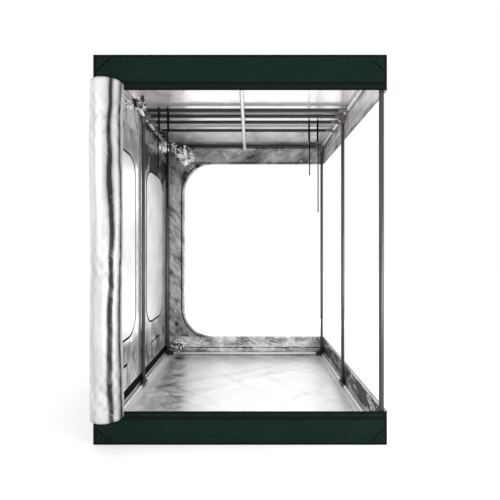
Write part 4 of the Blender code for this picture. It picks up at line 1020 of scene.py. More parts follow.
class GROWTENT_OT_floor_cloth(bpy.types.Operator):
    """Build the floor sheet with its folds"""

    bl_idname = "growtent.floor_cloth"
    bl_label = "Floor cloth"

    def execute(self, context):
        lines = steps(-FLOOR_EDGE, FLOOR_EDGE, CLOTH_STEP)
        x, y = np.meshgrid(lines, lines)
        free = ease(np.minimum(FLOOR_EDGE - np.abs(x), FLOOR_EDGE - np.abs(y)), 0.036, 0.12)
        slant = rumple(x * 0.6 + y * 0.35, y * 0.5 - x * 0.4, 0.16, 20)
        fold = creases(x * 0.7 + 0.5 * y, y * 0.4, 0.22, 21, 4) * 0.8
        fold = fold + creases(x * 0.5 - 0.8 * y, y * 0.3, 0.3, 22, 5)
        rays = np.sin(np.arctan2(y + 0.15, x + 0.95) * 23 + 2 * slant) * bell(x + 0.62, 0.24)
        height = 0.0004 + free * np.clip(0.0012 + 0.001 * slant + 0.0016 * fold + 0.0013 * rays, 0, 0.0048)
        z = np.minimum(0.0018 + height, 0.0021 + free * 0.005)
        # Painted shade on the floor film: a jagged grey zone towards the left, a painted reflection broken by rays;
        # painted brighter beside the left rail; greyer towards the back and along folds; thin dark lines beside both
        # side rails.
        jagged = 0.025 * rays + 0.04 * rumple(x * 0.5, y * 2, 0.09, 24)
        grey = ease(x, -0.66 - 0.084 * y, -0.6 - 0.084 * y) * ease(-0.38 - 0.186 * y + jagged - x, 0, 0.14)
        shade = 0.42 * grey * (0.9 + 0.25 * rays) + 0.05 * fold - 0.35 * (1 - ease(x, -0.67, -0.62))
        shade += 0.2 * ease(y, 0.42, 0.72) + 0.12 * bell(x + 0.69, 0.006) + 0.2 * bell(x - 0.69, 0.006)
        plan, top, under = np.stack([x, y], -1), joined(x, y, z), joined(x, y, 0)
        hem = np.abs(x[:-1, :-1] + CLOTH_STEP / 2) > FLOOR_HEM
        made = Cloth()
        made.add(top, plan, np.where(hem, 2, 0), False, shade)
        made.add(under, plan, 1)
        for cut in (FIRST_ROW, FIRST_COLUMN, LAST_ROW, LAST_COLUMN):
            made.add_rim(top[cut], under[cut], plan[cut], (0, 0), 1)
        films = ("floor_film", "outside_cloth_black", "floor_hem_film")
        sheet = made.object(context, "floor_cloth", films, "tent", "floor")
        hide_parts("floor_sheet")
        return {"FINISHED"}


def tape_ring(made, outline, x_face, proud):
    """A flat tape round an outline on the left wall, its outside edge on the line."""
    inward = left_of(unit(np.roll(outline, -1, 0) - np.roll(outline, 1, 0)))
    raised = proud * 1.9
    profile = ((0, 0), (0.0004, proud), (TAPE * 0.36, proud), (TAPE * 0.42, raised),
               (TAPE * 0.58, raised), (TAPE * 0.64, proud), (TAPE - 0.0004, proud), (TAPE, 0))
    rows = []
    for inset, lift in profile:
        line = outline + inward * inset
        rows.append(joined(x_face + lift, line[:, 0], line[:, 1]))
    made.add(np.array(rows), mapped(line_lengths(outline), TAPE_MAP), 2, True)


def window_pane(made, outline, x_face, shade, seed):
    """The sewn-in pane inside a window's tape, in rings from the tape to its middle."""
    middle = outline.mean(0)
    scale = np.concatenate([[1.0], np.linspace(0.985, 0.0, 26)])[:, None]
    flat = middle + (outline - middle) * scale[..., None]
    y, z = flat[..., 0], flat[..., 1]
    fold = 0.0009 * creases(y, z * 0.4, 0.14, seed) * np.minimum(1, (1 - scale) * 8)
    made.add(joined(x_face + fold, y, z), wrapped(flat), 0, True, shade + 0.1 * rumple(y, z, 0.3, seed))


def rim_tape(made, ends, face, edges, finish):
    """A tape that bridges from a wall's face to a band's, along a row of ends. Face turns a place along, out
    and up into a point."""
    rim, wall_edge = edges
    rows = [[face(end, out, height) for end in ends]
            for out, height in ((0.7531, rim), (0.7512, wall_edge), (0.7502, wall_edge))]
    made.add(np.array(rows), mapped(ends, RIM_TAPE_MAP), finish)


class GROWTENT_OT_left_wall(bpy.types.Operator):
    """Build the left wall with its windows, nets and corner strip"""

    bl_idname = "growtent.left_wall"
    bl_label = "Left wall"

    def execute(self, context):
        foot, top = WALL_FOOT, BAND_FOOT - GAP
        vent_ends = [[middle - VENT_HALF, middle + VENT_HALF] for middle in VENT_MIDDLES.values()]
        y_lines = np.unique(np.concatenate([steps(-WALL_EDGE, WALL_EDGE, CLOTH_STEP), *vent_ends]))
        z_lines = np.unique(np.concatenate([steps(foot, top, CLOTH_STEP), VENT_HEIGHTS]))
        y, z = np.meshgrid(y_lines, z_lines)
        free = ease(np.minimum.reduce([np.abs(y - place) for place in UPRIGHTS]), 0.02, 0.07)
        free = free * ease(z, foot, foot + 0.2) * ease(top - z, 0, 0.05)
        fold = rumple(y + 0.3 * z, z * 0.5, 0.13, 30) * 0.5 + 0.5 + creases(y * 0.8 + 0.3 * z, z * 0.5, 0.2, 31)
        low, high = WINDOW_HEIGHTS
        in_window = sum(
            ease(WINDOW_LENGTH / 2 + WINDOW_FLAT - np.abs(y - middle), 0, WINDOW_FLAT)
            for middle in WINDOW_MIDDLES.values())
        in_window = in_window * ease(z, low - WINDOW_FLAT, low) * ease(high + WINDOW_FLAT - z, 0, WINDOW_FLAT)
        x = -INNER + free * context.scene.grow_tent_film.fold_depth * np.clip(fold, 0, 1.6) * (1 - in_window)
        # Painted shade on the wall film: greyer and dark at the top towards the back, painted streaks of shade near
        # the foot and at the top at the front, and a painted highlight strip beside the middle upright.
        behind = ease(y, 0.02, 0.1)
        beside_pole = y + 0.064
        foot_shade_streaks = 0.12 + 0.35 * rumple(y * 1.3 + z * 0.8, z * 0.6, 0.12, 36) + 0.35 * (1 - behind)
        shade = 0.02 + 0.2 * behind + 1.2 * behind * ease(z, 1.5, 1.76) * (1 - 0.4 * ease(y, 0.5, 0.7))
        shade = shade + ease(0.5 - z, 0, 0.22) * foot_shade_streaks
        top_shade_streaks = 0.7 + 0.6 * rumple(y * 2.5, z, 0.16, 35)
        shade += 0.4 * ease(z, 1.45, 1.7) * (1 - behind) * top_shade_streaks * (1 - bell(beside_pole, 0.032))
        shade += 0.08 * rumple(y * 1.5, z, 0.25, 32) - 0.15 * bell(beside_pole, 0.035)
        plan = np.stack([y, z], -1)
        mid_y, mid_z = (y_lines[:-1] + y_lines[1:]) / 2, (z_lines[:-1] + z_lines[1:]) / 2
        near_vent = np.any([np.abs(mid_y - middle) < VENT_HALF for middle in VENT_MIDDLES.values()], 0)
        holes = near_vent[None, :] & ((mid_z > VENT_HEIGHTS[0]) & (mid_z < VENT_HEIGHTS[1]))[:, None]
        outside = WALL_X - 0.0006 * free * (rumple(y, z, 0.2, 33) * 0.5 + 0.5)
        made = Cloth()
        made.add(joined(x, y, z), plan, 0, False, shade, holes)
        made.add(joined(outside, y, z), plan, 1, False, 0, holes)
        wall = made.object(context, "left_wall_cloth", ("wall_film", "outside_cloth_black"), "tent", "wall")
        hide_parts("left_wall")
        windows = self.windows(context)
        [windows] + vent_nets(context)
        return {"FINISHED"}

    def windows(self, context):
        """The panes with their tapes, the strip down the front corner and the tapes along both bands."""
        made = Cloth()
        low, high = WINDOW_HEIGHTS
        half = WINDOW_LENGTH / 2
        for place, middle in WINDOW_MIDDLES.items():
            outline = rounded_outline((middle - half, low), (middle + half, high), WINDOW_CORNER)
            tape_ring(made, outline, -INNER, TAPE_PROUD)
            tape_ring(made, outline, WALL_X - 0.0006, -TAPE_PROUD)
            inner = rounded_outline(
                (middle - half + TAPE, low + TAPE), (middle + half - TAPE, high - TAPE), WINDOW_CORNER - TAPE)
            # The rear pane is painted greyer, as painted shade.
            window_pane(made, inner, -INNER + 0.0004, 0.0 if place == "front" else 0.12, 34)
        profile = np.array(CORNER_STRIP)
        heights = steps(SILL + GAP, BAND_FOOT - GAP, 0.02)
        strip = joined(profile[None, :, 0], profile[None, :, 1], heights[:, None])
        made.add(strip, mapped(line_lengths(profile, False), heights)[..., ::-1], 1)
        for edges in ((WALL_FOOT - 0.0008, WALL_FOOT + 0.006), (BAND_FOOT + 0.0006, BAND_FOOT - 0.006)):
            rim_tape(made, np.linspace(-WALL_EDGE, WALL_EDGE, 60), lambda y, out, z: (-out, y, z), edges, 2)
        kinds = ("window_film", "outside_cloth_black", "seam_thread_black")
        return made.object(context, "left_windows", kinds, "tent", "wall", FINE_WELD)


def vent_nets(context):
    """Black net over the two low vents, one strand to each pitch both ways."""
    nets = []
    low, high = VENT_HEIGHTS
    turns = [math.radians(angle) for angle in (45, 135, 225, 315)]
    ring = [(math.cos(turn) * NET_RADIUS, math.sin(turn) * NET_RADIUS) for turn in turns]
    for place, middle in VENT_MIDDLES.items():
        made = Cloth()
        left, right = middle - VENT_HALF, middle + VENT_HALF
        across, up = (start + NET_PITCH * np.arange(1, count + 1) for start, count in zip((left, low), NET_STRANDS))
        runs = [((y, low), (y, high), 0.0002) for y in across] + [((left, z), (right, z), -0.0002) for z in up]
        for start, end, lift in runs:
            upright = start[0] == end[0]
            rows = [[(WALL_X + 0.001 + lift + a, point[0] + (b if upright else 0), point[1] + (0 if upright else b))
                     for a, b in ring] for point in (start, end)]
            flat = mapped(np.linspace(0, 0.003, 5), (0, math.dist(start, end)))[..., ::-1]
            made.add(np.array(rows), flat, 0, True)
        nets.append(made.object(context, f"vent_net_{place}", ("zip_tape",), "tent", "wall", FINE_WELD))
    return nets


class GROWTENT_OT_vent_flaps(bpy.types.Operator):
    """Build the two flaps that close the low vents"""

    bl_idname = "growtent.vent_flaps"
    bl_label = "Vent flaps"

    def execute(self, context):
        kinds = ("flap_film", "outside_cloth_black", "seam_thread_black")
        for place, (low, high) in FLAP_BOXES.items():
            made = Cloth()
            y, z = np.meshgrid(steps(low.y, high.y, 0.008), steps(low.z, high.z, 0.008))
            hem = ease(z, high.z - FLAP_HEM, high.z - FLAP_HEM + 0.001)
            outer = low.x + 0.0014 + 0.001 * hem + 0.0005 * (rumple(y, z, 0.05, 40) * 0.5 + 0.5) * (1 - hem)
            bound = (z[:-1, :-1] > high.z - FLAP_HEM) | (y[:-1, :-1] < low.y + 0.004)
            bound |= y[:-1, 1:] > high.y - 0.004
            plan, front, back = np.stack([y, z], -1), joined(outer, y, z), joined(low.x + 0.0001, y, z)
            # Painted shade: the flaps are painted a little grey, the rear one darker and darker away from its top.
            shade = 0.15 + (0.35 + 0.2 * ease(high.z - z, 0, 0.1)) * (place == "rear")
            made.add(front, plan, np.where(bound, 2, 0), False, shade)
            made.add(back, plan, 1)
            for cut in (FIRST_ROW, LAST_ROW, FIRST_COLUMN, LAST_COLUMN):
                lengths = line_lengths(front[cut], False)
                made.add_rim(front[cut], back[cut], np.stack([lengths, 0 * lengths], -1), (0, RIM_WIDTH), 2)
            flap = made.object(context, f"vent_flap_cloth_{place}", kinds, f"flap_{place}", "wall")
            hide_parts(f"vent_flap_{place}")
        return {"FINISHED"}


def doorway_x(z):
    """The left edge of the back doorway at each height."""
    low, high = SILL + GAP + DOORWAY_TIP, BAND_FOOT - GAP - DOORWAY_TIP
    z = np.clip(z, low, high)
    drop = np.maximum(0, np.maximum(low + DOORWAY_CORNER - z, z - (high - DOORWAY_CORNER)))
    return DOORWAY_LEFT + DOORWAY_CORNER - np.sqrt(np.maximum(0, DOORWAY_CORNER**2 - drop**2))


class GROWTENT_OT_back_wall(bpy.types.Operator):
    """Build the back wall left of its doorway, with the doorway's zip tape"""

    bl_idname = "growtent.back_wall"
    bl_label = "Back wall"

    def execute(self, context):
        foot, top = SILL + GAP, BAND_FOOT - GAP
        arc = quarter_turns(0, 90, 22)[0]
        low_arc = foot + DOORWAY_TIP + DOORWAY_CORNER - DOORWAY_CORNER * arc
        middle = steps(foot + 0.275, top - 0.275, 0.012)
        heights = [[foot, foot + 0.002], low_arc, middle, (foot + top) - low_arc, [top - 0.002, top]]
        heights = np.unique(np.round(np.concatenate(heights), 6))[:, None]
        edge = doorway_x(heights)
        x = WALL_X + (edge - WALL_X) * np.linspace(0, 1, 15)[None, :]
        x, z = np.broadcast_arrays(x, heights)
        free = ease(np.minimum(x - WALL_X, edge - x), 0, 0.02) * ease(np.abs(x + UPRIGHTS[2]), 0.016, 0.04)
        slant = rumple(x * 1.4 + z * 0.55, z * 0.4 - x, 0.07, 50) * 0.5 + 0.5
        fans = bell(z - foot, 0.3) * (np.sin(np.arctan2(z - foot + 0.02, x + 0.76) * 15) * 0.5 + 0.5)
        fans += bell(top - z, 0.28) * (np.sin(np.arctan2(top - z + 0.02, x + 0.76) * 13) * 0.5 + 0.5)
        depth = 0.0022 * slant + 0.0026 * fans + 0.001 * creases(x + z, z - x, 0.1, 51)
        y = INNER - free * np.clip(depth, 0, 0.006)
        # Painted shade on the back wall film: mid grey, varied with the slanting folds and the fans of folds at the
        # corners, lighter beside the doorway's edge.
        shade = 0.66 + 0.2 * (slant - 0.5) + 0.12 * fans - 0.3 * bell(edge - x, 0.012)
        plan, inside, outside = np.stack([x, z], -1), joined(x, y, z), joined(x, DEPTH_HALF, z)
        made = Cloth()
        made.add(inside, plan, 0, False, shade)
        made.add(outside, plan, 1)
        for cut in (FIRST_COLUMN, LAST_COLUMN):
            made.add_rim(inside[cut], outside[cut], plan[cut], (RIM_WIDTH, 0), 2)
        for cut in (FIRST_ROW, LAST_ROW):
            made.add_rim(inside[cut], outside[cut], plan[cut], (0, RIM_WIDTH), 2)
        kinds = ("back_film", "outside_cloth_black", "band_binding")
        wall = made.object(context, "back_wall_cloth", kinds, "tent", "wall")
        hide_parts("back_wall")
        zip_piece = doorway_zip(context, foot, top)
        return {"FINISHED"}


def doorway_zip(context, foot, top):
    """The doorway's zip, sewn along its edge on both faces of the cloth, and the tapes along both bands."""
    radius = DOORWAY_CORNER + DOORWAY_ZIP_INSET
    x = DOORWAY_LEFT + DOORWAY_CORNER
    low, high = foot + DOORWAY_TIP + DOORWAY_CORNER, top - DOORWAY_TIP - DOORWAY_CORNER
    arcs = [quarter_turns(start, start - 68, 16) for start in (248, 180)]
    lower, upper = (np.stack([x + radius * cosine, height + radius * sine], -1)
                    for (cosine, sine), height in zip(arcs, (low, high)))
    side = [(lower[-1][0], height) for height in np.linspace(low + 0.02, high - 0.02, 44)]
    line = np.concatenate([lower, side, upper])
    outward = left_of(unit(np.gradient(line, axis=0)))
    lengths = line_lengths(line, False)
    kinds = np.array([0, 0, 0, 1, 0, 0, 0])[:, None]
    made = Cloth()
    for face, sign in ((INNER - 0.0042, -1), (DEPTH_HALF, 1)):
        rows = []
        for inset, lift in zip(TAPE_MAP, DOORWAY_ZIP_LIFTS):
            place = line + outward * inset
            lifted = lift if sign > 0 or lift else -0.004
            rows.append(joined(place[:, 0], face + sign * lifted, place[:, 1]))
        made.add(np.array(rows), mapped(lengths, TAPE_MAP), kinds)
    for edges in ((SILL - GAP, SILL + 0.006), (BAND_FOOT + 0.0006, BAND_FOOT - 0.006)):
        ends = np.linspace(WALL_X + 0.002, doorway_x(edges[1]) - 0.001, 24)
        rim_tape(made, ends, lambda x, out, z: (x, out, z), edges, 0)
    return made.object(context, "doorway_zip", ("zip_tape", "zip_coil"), "tent", "wall", FINE_WELD)


# Door


class GROWTENT_OT_door_roll(bpy.types.Operator):
    """Build the front door, rolled up in front of the left corner"""

    bl_idname = "growtent.door_roll"
    bl_label = "Rolled door"

    def execute(self, context):
        settings = context.scene.grow_tent_door
        heights = steps(ROLL_FOOT + 0.013, ROLL_TOP - 0.0155, 0.0125)
        z = heights[:, None]
        angles = np.concatenate([
            90 - 360 * turn - np.linspace(0, 360, ROLL_POINTS[turn], endpoint=False)
            for turn in range(settings.turns)
        ])[None, :]
        x, y, dark = roll_surface(angles, z, settings)
        back = ROLL_CENTRE[1] + ROLL_HALF[1]
        lead = 8
        lead_share = ease(np.arange(lead) / lead, 0, 1)[None, :]
        y[:, :lead] = np.minimum(y[:, :lead], back + GAP) * lead_share + back * (1 - lead_share)
        hem_x = np.linspace(-0.746, ROLL_CENTRE[0] - 0.012, 9)[None, :]
        hem_y = -0.7555 + 0.0003 * rumple(hem_x, z, 0.08, 60)
        hem = joined(hem_x, hem_y, z)
        places = np.concatenate([hem, joined(x, y, z)], 1)
        # The flat cloth from the wall to the roll is painted a little grey, as painted shade.
        shade = np.concatenate([np.full(hem.shape[:2], 0.3), dark], 1)
        along = line_lengths(places[len(heights) // 2][:, :2], False)
        made = Cloth().add(places, mapped(along, heights), 0, False, shade)
        kinds = ("door_film", "outside_cloth_black")
        roll = made.object(context, "door_roll_cloth", kinds, "door", "wall")
        thickness = roll.modifiers.new("thickness", "SOLIDIFY")
        thickness.thickness, thickness.offset = DOOR_THICKNESS, -1.0
        thickness.material_offset = thickness.material_offset_rim = 1
        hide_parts("door_roll")
        return {"FINISHED"}


def roll_surface(angle, z, settings):
    """Where the rolled door's cloth lies, and how much painted shade it has there."""
    turn = (90 - angle) / 360
    share = (z - ROLL_FOOT) / (ROLL_TOP - ROLL_FOOT)
    waist = 1 - 0.05 * np.sin(math.pi * share) ** 2 * (1 + np.sin(math.tau * (share - 0.1))) / 2
    sway = 0.0025 * np.sin(2 * math.tau * (share + 0.08))
    first = np.clip(1 - 0.75 * np.floor(turn), 0.15, 1)
    reach = np.ones(np.broadcast(angle, share).shape)
    dark, slant = np.zeros_like(reach), np.zeros_like(reach)
    turned = (angle + 180) % 360 - 180
    open_end = 0.35 + 0.65 * ease(share, 0, 0.04) * ease(1 - share, 0, 0.04)
    for place, spread, depth, grey, before, after in ROLL_CREASES:
        row = np.full_like(share, place)
        wander = 3 * np.sin(math.tau * 1.5 * share + place) + 2.5 * rumple(share * 1.6, row, 0.12, 61)
        distance = (turned - place - wander + 180) % 360 - 180
        reach -= open_end * first * depth * bell(distance, spread)
        # Painted shade along each crease, reaching further to one side.
        width = np.where(distance > 0, after, before) * (1 + 0.18 * rumple(share, row, 0.2, 65, 1))
        dark += grey * np.exp(-np.abs(distance / width) ** 1.4) * (0.95 + 0.12 * rumple(share, row, 0.1, 62))
    for height, strength in PINCHES:
        above = z - height
        around = bell(above, 0.13)
        reach -= first * strength * bell(above, 0.028) * (0.7 + 0.3 * np.cos(np.radians(3 * turned)))
        rays = np.abs(np.sin(np.radians(turned * 4.5) + above * 38))
        rays = rays + np.abs(np.sin(np.radians(turned * 5.5) - above * 46))
        slant += around * (rays - 1.2)
        # Painted shade between the pinch's slanting rays.
        dark += 0.16 * around * np.clip(1.0 - rays, 0, 1)
    arc = np.radians(turned) * 0.075
    slant += 0.5 * creases(arc * 0.9 + z * 0.35, z * 0.25, 0.05, 63, 2.5) * ease(0.5 - z, 0, 0.3)
    slant += 0.3 * rumple(arc + 0.25 * z, z * 0.3, 0.04, 64)
    spiral = settings.spacing * turn
    wrinkle = settings.wrinkle * 0.5 * (1 - slant) * first
    x = ROLL_CENTRE[0] + sway + (ROLL_HALF[0] * waist * reach - spiral - wrinkle) * np.cos(np.radians(angle))
    y = ROLL_CENTRE[1] + (ROLL_HALF[1] * reach - spiral - wrinkle) * np.sin(np.radians(angle))
    # Painted shade: greyer towards the foot, where the wrinkles' slant is low, and on the turns inside the outer one.
    dark += 0.12 + 0.17 * (1 - share) + 0.1 * (1 - np.clip(slant, 0, 1)) + 0.25 * (turn > 1)
    return x, y, np.clip(dark, 0, 1)


# Sleeves


class GROWTENT_OT_sleeves(bpy.types.Operator):
    """Build the gathered ducting sleeves and the cords that tie them"""

    bl_idname = "growtent.sleeves"
    bl_label = "Ducting sleeves"

    def execute(self, context):
        out = np.linspace(0, 1, 40)
        along = np.concatenate([out, CLOSED_END_PLACES])[:, None]
        closing = (np.arange(len(along)) >= len(out))[:, None]
        angle = np.linspace(0, math.tau, 96, endpoint=False)[None, :]
        for number, (name, (start, direction, radius, length)) in enumerate(SLEEVES.items()):
            body = radius * np.interp(out, SLEEVE_SHAPE[:, 0], SLEEVE_SHAPE[:, 1])
            body = np.concatenate([body, radius * np.array(CLOSED_END_SHARES)])[:, None]
            wander = 3.4 * rumple(np.cos(angle) + 2 * along, np.sin(angle) + 3 * number, 0.8, 90 + number, 2)
            pleats = angle * SLEEVE_PLEATS / 2 + 0.9 * np.sin(3 * along) + number + wander
            sharp = 1 - np.abs(np.sin(pleats))
            hold = np.where(closing, ease(body / radius, 0.5, 0.95), 1)
            pleat = 1 + hold * along * (0.13 + 0.1 * np.sin(2 * angle + 2 * number)) * (2 * sharp - 1.1)
            around, down = np.cos(angle) * radius, np.sin(angle) * radius
            far = along * length
            crush = 1 + 0.22 * rumple(around * 1.3 + far, down * 1.3 + far * 0.5, 0.03, 70 + number)
            crush += 0.16 * creases(around + far * 0.7, down, 0.034, 75 + number, 2.5) - 0.06
            reach = np.minimum(body * pleat * crush * 1.1, radius * 1.2)
            flat_x, flat_y = around * body / radius, down * body / radius
            lift = rumple(flat_x, flat_y, 0.02, 80 + number) * ease(along, 0.5, 0.9)
            lift = lift * np.where(closing, 0.013, 0.008)
            reached = length * np.clip(along, 0, 1.02) + np.clip(lift, -0.012, 0.003)
            slip = closing * (1 - body / radius) * radius
            places = joined(reach * np.cos(angle) + 0.45 * slip, reach * np.sin(angle) - 0.3 * slip, reached)
            turn = turned_to(Vector(direction))
            places = places @ turn.T + np.array(start)
            places[..., 2] -= 0.013 * ease(along, 0.7, 1.0)
            # Painted shade: darker at the tied neck, in the hollows between the pleats, and along painted fold lines
            # on the closed end.
            shade = 0.02 + 0.7 * bell(along - 0.68, 0.07) + 0.95 * (1 - sharp) ** 2 * (0.3 + 0.7 * along) * hold
            end_fold_shade = 1.3 * creases(flat_x, flat_y, 0.04, 85 + number, 2.2)
            shade = shade + closing * (end_fold_shade + 0.2 * rumple(flat_x, flat_y, 0.05, 86 + number))
            travelled = np.cumsum(np.abs(np.diff(along[:, 0], prepend=0))) * length
            flat = mapped(np.linspace(0, math.tau * radius, 97), travelled)
            made = Cloth().add(places, flat, 0, True, shade)
            sleeve = made.object(context, f"sleeve_{name}", ("sleeve_film",), "tent", "wall", FINE_WELD)
            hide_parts("base_band" if name == "low" else "roof_cap")
            tie(context, name, Vector(start), turn, radius, length)
        return {"FINISHED"}


def turned_to(direction):
    """The rotation that turns up towards a direction."""
    return np.array(direction.to_track_quat("Z", "Y").to_matrix())


def tie(context, name, start, turn, radius, length):
    """A cord wound round a sleeve's neck, with the barrel lock that holds it."""
    thick = context.scene.grow_tent_cords.drawcord_diameter / 2
    neck, reach = 0.69 * length, radius * 0.46
    angles = np.linspace(0, 3 * math.tau, 73)
    heights = neck + (angles / math.tau - 1.5) * 2.1 * thick
    made = Cloth()
    add_strand(made, joined(reach * np.cos(angles), reach * np.sin(angles), heights), thick)
    round_angles = np.linspace(0, math.tau, 20, endpoint=False)
    lock = [[(-reach - 0.0072 + r * math.cos(a), h, neck + r * math.sin(a)) for a in round_angles]
            for r, h in LOCK_PROFILE]
    made.add(np.array(lock), mapped(np.linspace(0, 0.042, 21), [h for _, h in LOCK_PROFILE]), 1, True)
    made.points = [np.concatenate(made.points) @ turn.T + np.array(start)]
    made.object(context, f"sleeve_tie_{name}", ("cord_braid", "lock_plastic"), "tent", "cord", FINE_WELD)


def add_strand(made, path, radius, sides=8):
    """A round strand along a path, narrower at its ends."""
    direction = unit(np.gradient(path, axis=0))
    side = unit(np.cross(direction, (0.31, 0.22, 0.93)))
    other = np.cross(direction, side)
    angles = np.linspace(0, math.tau, sides, endpoint=False)[None, :, None]
    thickness = np.full(len(path), radius)
    thickness[0] = thickness[-1] = radius * 0.35
    around = np.cos(angles) * side[:, None, :] + np.sin(angles) * other[:, None, :]
    places = path[:, None, :] + thickness[:, None, None] * around
    flat = mapped(np.linspace(0, math.tau * radius, sides + 1), line_lengths(path, False))[..., ::-1]
    made.add(places, flat, 0, True)


# Cords


def smooth_points(route, place):
    """Points along a smooth curve through the route, closer together on short runs."""
    points = [Vector(point) for point in route]
    made = [points[0]]
    for i in range(len(points) - 1):
        start, end = points[i], points[i + 1]
        before = points[i - 1] if i else start
        after = points[i + 2] if i + 2 < len(points) else end
        run = (end - start).length
        count = 2 if run < SHORT_RUN else math.ceil(run / CORD_STEP)
        for step in range(1, count + 1):
            t = step / count
            made.append(0.5 * (2 * start + (end - before) * t + (2 * before - 5 * start + 4 * end - after) * t**2
                               + (3 * start - before - 3 * end + after) * t**3))
    return [point + Vector(place) for point in made]


def cord_piece(name, points, diameter, material, body):
    curve = bpy.data.curves.new(name, "CURVE")
    curve.dimensions = "3D"
    curve.bevel_depth = diameter / 2
    curve.bevel_resolution = 4
    curve.use_fill_caps = True
    spline = curve.splines.new("POLY")
    spline.points.add(len(points) - 1)
    for place, point in zip(spline.points, points):
        place.co = (*point, 1.0)
    curve.materials.append(material)
    return placed(bpy.data.objects.new(name, curve), body)


def run_length(points):
    return sum((b - a).length for a, b in zip(points, points[1:]))


class GROWTENT_OT_cords(bpy.types.Operator):
    """Build the two hanging cords and the front sleeve's drawcord"""

    bl_idname = "growtent.cords"
    bl_label = "Cords"

    def execute(self, context):
        settings = context.scene.grow_tent_cords
        braid = named_finish(context, "cord_braid")
        for side, place in CORD_PLACES.items():
            points = smooth_points(CORD_ROUTE, place)
            body = CORD_BODIES[side]
            piece = cord_piece(f"hanging_cord_braid_{side}", points, settings.cord_diameter, braid, body)
            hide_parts(f"hanging_cord_{side}")
            ends = cord_ends(context, f"cord_ends_{side}", points, settings.cord_diameter, body)
            run_length(points)
        points = smooth_points(DRAWCORD_ROUTE, DRAWCORD_PLACE)
        piece = cord_piece("sleeve_drawcord_braid", points, settings.drawcord_diameter, braid, "tent")
        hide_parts("sleeve_drawcord")
        run_length(points)
        return {"FINISHED"}


def cord_ends(context, name, points, diameter, body):
    """Short heat-shrunk sleeves at both ends of a cord."""
    made = Cloth()
    angles = np.linspace(0, math.tau, 16, endpoint=False)
    rows = [[(diameter * r * math.cos(a), diameter * r * math.sin(a), h) for a in angles] for h, r in CORD_END]
    flat = mapped(np.linspace(0, 0.027, 17), [h for h, _ in CORD_END])
    for end, following in ((points[0], points[1]), (points[-1], points[-2])):
        turn = turned_to((following - end).normalized())
        made.add(np.array(rows) @ turn.T + np.array(end), flat, 0, True)
    return made.object(context, name, ("zip_tape",), body, "cord", FINE_WELD)


# Frame


class GROWTENT_OT_frame_finishes(bpy.types.Operator):
    """Give the poles, sockets, buttons and sliders their finishes"""

    bl_idname = "growtent.frame_finishes"
    bl_label = "Frame finishes"

    def execute(self, context):
        for name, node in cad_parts.items():
            kind = next((kind for starts, kind in FRAME_FINISHES if name.startswith(starts)), None)
            if kind:
                for slot in node.material_slots:
                    slot.material = named_finish(context, kind)
        return {"FINISHED"}


# Stage


def add_lamp(name, place, target, size, power):
    data = bpy.data.lights.new(name, "AREA")
    data.shape = "RECTANGLE"
    data.size, data.size_y = size
    data.energy = power
    item = bpy.data.objects.new(name, data)
    bpy.context.scene.collection.objects.link(item)
    item.location = place
    item.visible_camera = False
    item.visible_glossy = name not in UNMIRRORED_LAMPS
    item.rotation_euler = (Vector(target) - Vector(place)).to_track_quat("-Z", "Y").to_euler()


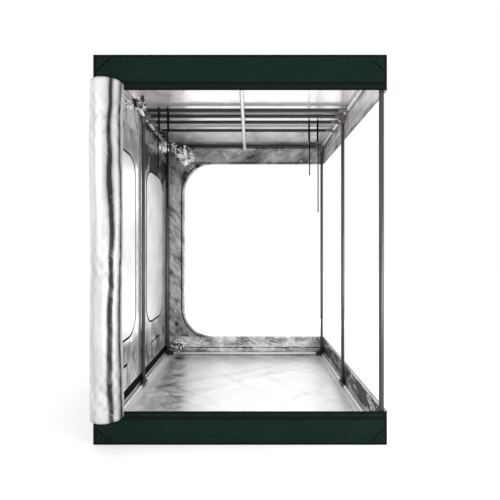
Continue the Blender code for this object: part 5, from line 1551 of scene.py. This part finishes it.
class GROWTENT_OT_stage(bpy.types.Operator):
    """Set up the floor, the light and the camera"""

    bl_idname = "growtent.stage"
    bl_label = "Stage"

    def execute(self, context):
        settings = context.scene.grow_tent_stage
        self.add_floor(context, settings)
        self.light_room(context, settings)
        for name, (place, target, size, share) in LAMPS.items():
            add_lamp(name, place, target, size, settings.lamp_power * share)
        view = bpy.data.cameras.new("camera")
        view.sensor_width = 36
        view.lens = settings.lens
        camera = bpy.data.objects.new("camera", view)
        context.scene.collection.objects.link(camera)
        camera.location = settings.camera_place
        camera.rotation_euler = (math.radians(90), 0, 0)
        context.scene.camera = camera
        context.scene.view_settings.view_transform = "Standard"
        return {"FINISHED"}

    def add_floor(self, context, settings):
        mesh = bpy.data.meshes.new("stage_floor")
        line = np.linspace(-STAGE_HALF, STAGE_HALF, STAGE_LINES)
        points = [(x, y, -STAGE_DROP) for y in line for x in line]
        cells = range(STAGE_LINES - 1)
        starts = [j * STAGE_LINES + i for j in cells for i in cells]
        faces = [(k, k + 1, k + STAGE_LINES + 1, k + STAGE_LINES) for k in starts]
        mesh.from_pydata(points, [], faces)
        mesh.materials.append(stage_finish("stage_floor_pale", tuple(settings.floor_colour), STAGE_LIFT))
        floor = bpy.data.objects.new("stage_floor", mesh)
        context.scene.collection.objects.link(floor)

    def light_room(self, context, settings):
        """Even light from all round, seen as plain white."""
        world = bpy.data.worlds.new("studio")
        context.scene.world = world
        world.use_nodes = True
        tree = world.node_tree
        background = tree.nodes["Background"]
        path = tree.nodes.new("ShaderNodeLightPath")
        seen = path.outputs[SEEN_RAYS[0]]
        for other in SEEN_RAYS[1:]:
            either = tree.nodes.new("ShaderNodeMath")
            either.operation = "MAXIMUM"
            tree.links.new(seen, either.inputs[0])
            tree.links.new(path.outputs[other], either.inputs[1])
            seen = either.outputs[0]
        strength = tree.nodes.new("ShaderNodeMapRange")
        strength.inputs["To Min"].default_value = settings.room_light
        strength.inputs["To Max"].default_value = 1.0
        tree.links.new(seen, strength.inputs["Value"])
        tree.links.new(strength.outputs["Result"], background.inputs["Strength"])
        background.inputs["Color"].default_value = WHITE


# Add-on


SETTINGS = {
    "grow_tent_cloth": GrowTentClothSettings,
    "grow_tent_film": GrowTentFilmSettings,
    "grow_tent_frame": GrowTentFrameSettings,
    "grow_tent_door": GrowTentDoorSettings,
    "grow_tent_cords": GrowTentCordSettings,
    "grow_tent_stage": GrowTentStageSettings,
}
OPERATORS = [
    GROWTENT_OT_stage,
    GROWTENT_OT_cords,
    GROWTENT_OT_frame_finishes,
    GROWTENT_OT_roof_cover,
    GROWTENT_OT_base_band,
    GROWTENT_OT_floor_cloth,
    GROWTENT_OT_left_wall,
    GROWTENT_OT_vent_flaps,
    GROWTENT_OT_back_wall,
    GROWTENT_OT_door_roll,
    GROWTENT_OT_sleeves,
]


class GROWTENT_PT_panel(bpy.types.Panel):
    """Lists the tent's settings and the pieces that can be built"""

    bl_idname = "GROWTENT_PT_panel"
    bl_label = "Grow Tent"
    bl_space_type = "VIEW_3D"
    bl_region_type = "UI"
    bl_category = "Grow Tent"

    def draw(self, context):
        for name, group in SETTINGS.items():
            box = self.layout.box()
            box.label(text=name.removeprefix("grow_tent_").capitalize())
            settings = getattr(context.scene, name)
            for setting in group.__annotations__:
                box.prop(settings, setting)
        for operator in OPERATORS:
            self.layout.operator(operator.bl_idname)


def register():
    for name, group in SETTINGS.items():
        bpy.utils.register_class(group)
        setattr(bpy.types.Scene, name, PointerProperty(type=group))
    for operator in OPERATORS:
        bpy.utils.register_class(operator)
    bpy.utils.register_class(GROWTENT_PT_panel)


def unregister():
    bpy.utils.unregister_class(GROWTENT_PT_panel)
    for operator in reversed(OPERATORS):
        bpy.utils.unregister_class(operator)
    for name, group in SETTINGS.items():
        delattr(bpy.types.Scene, name)
        bpy.utils.unregister_class(group)


def main():
    register()
    for operator in OPERATORS:
        group, name = operator.bl_idname.split(".")
        getattr(getattr(bpy.ops, group), name)()


if __name__ == "__main__":
    main()
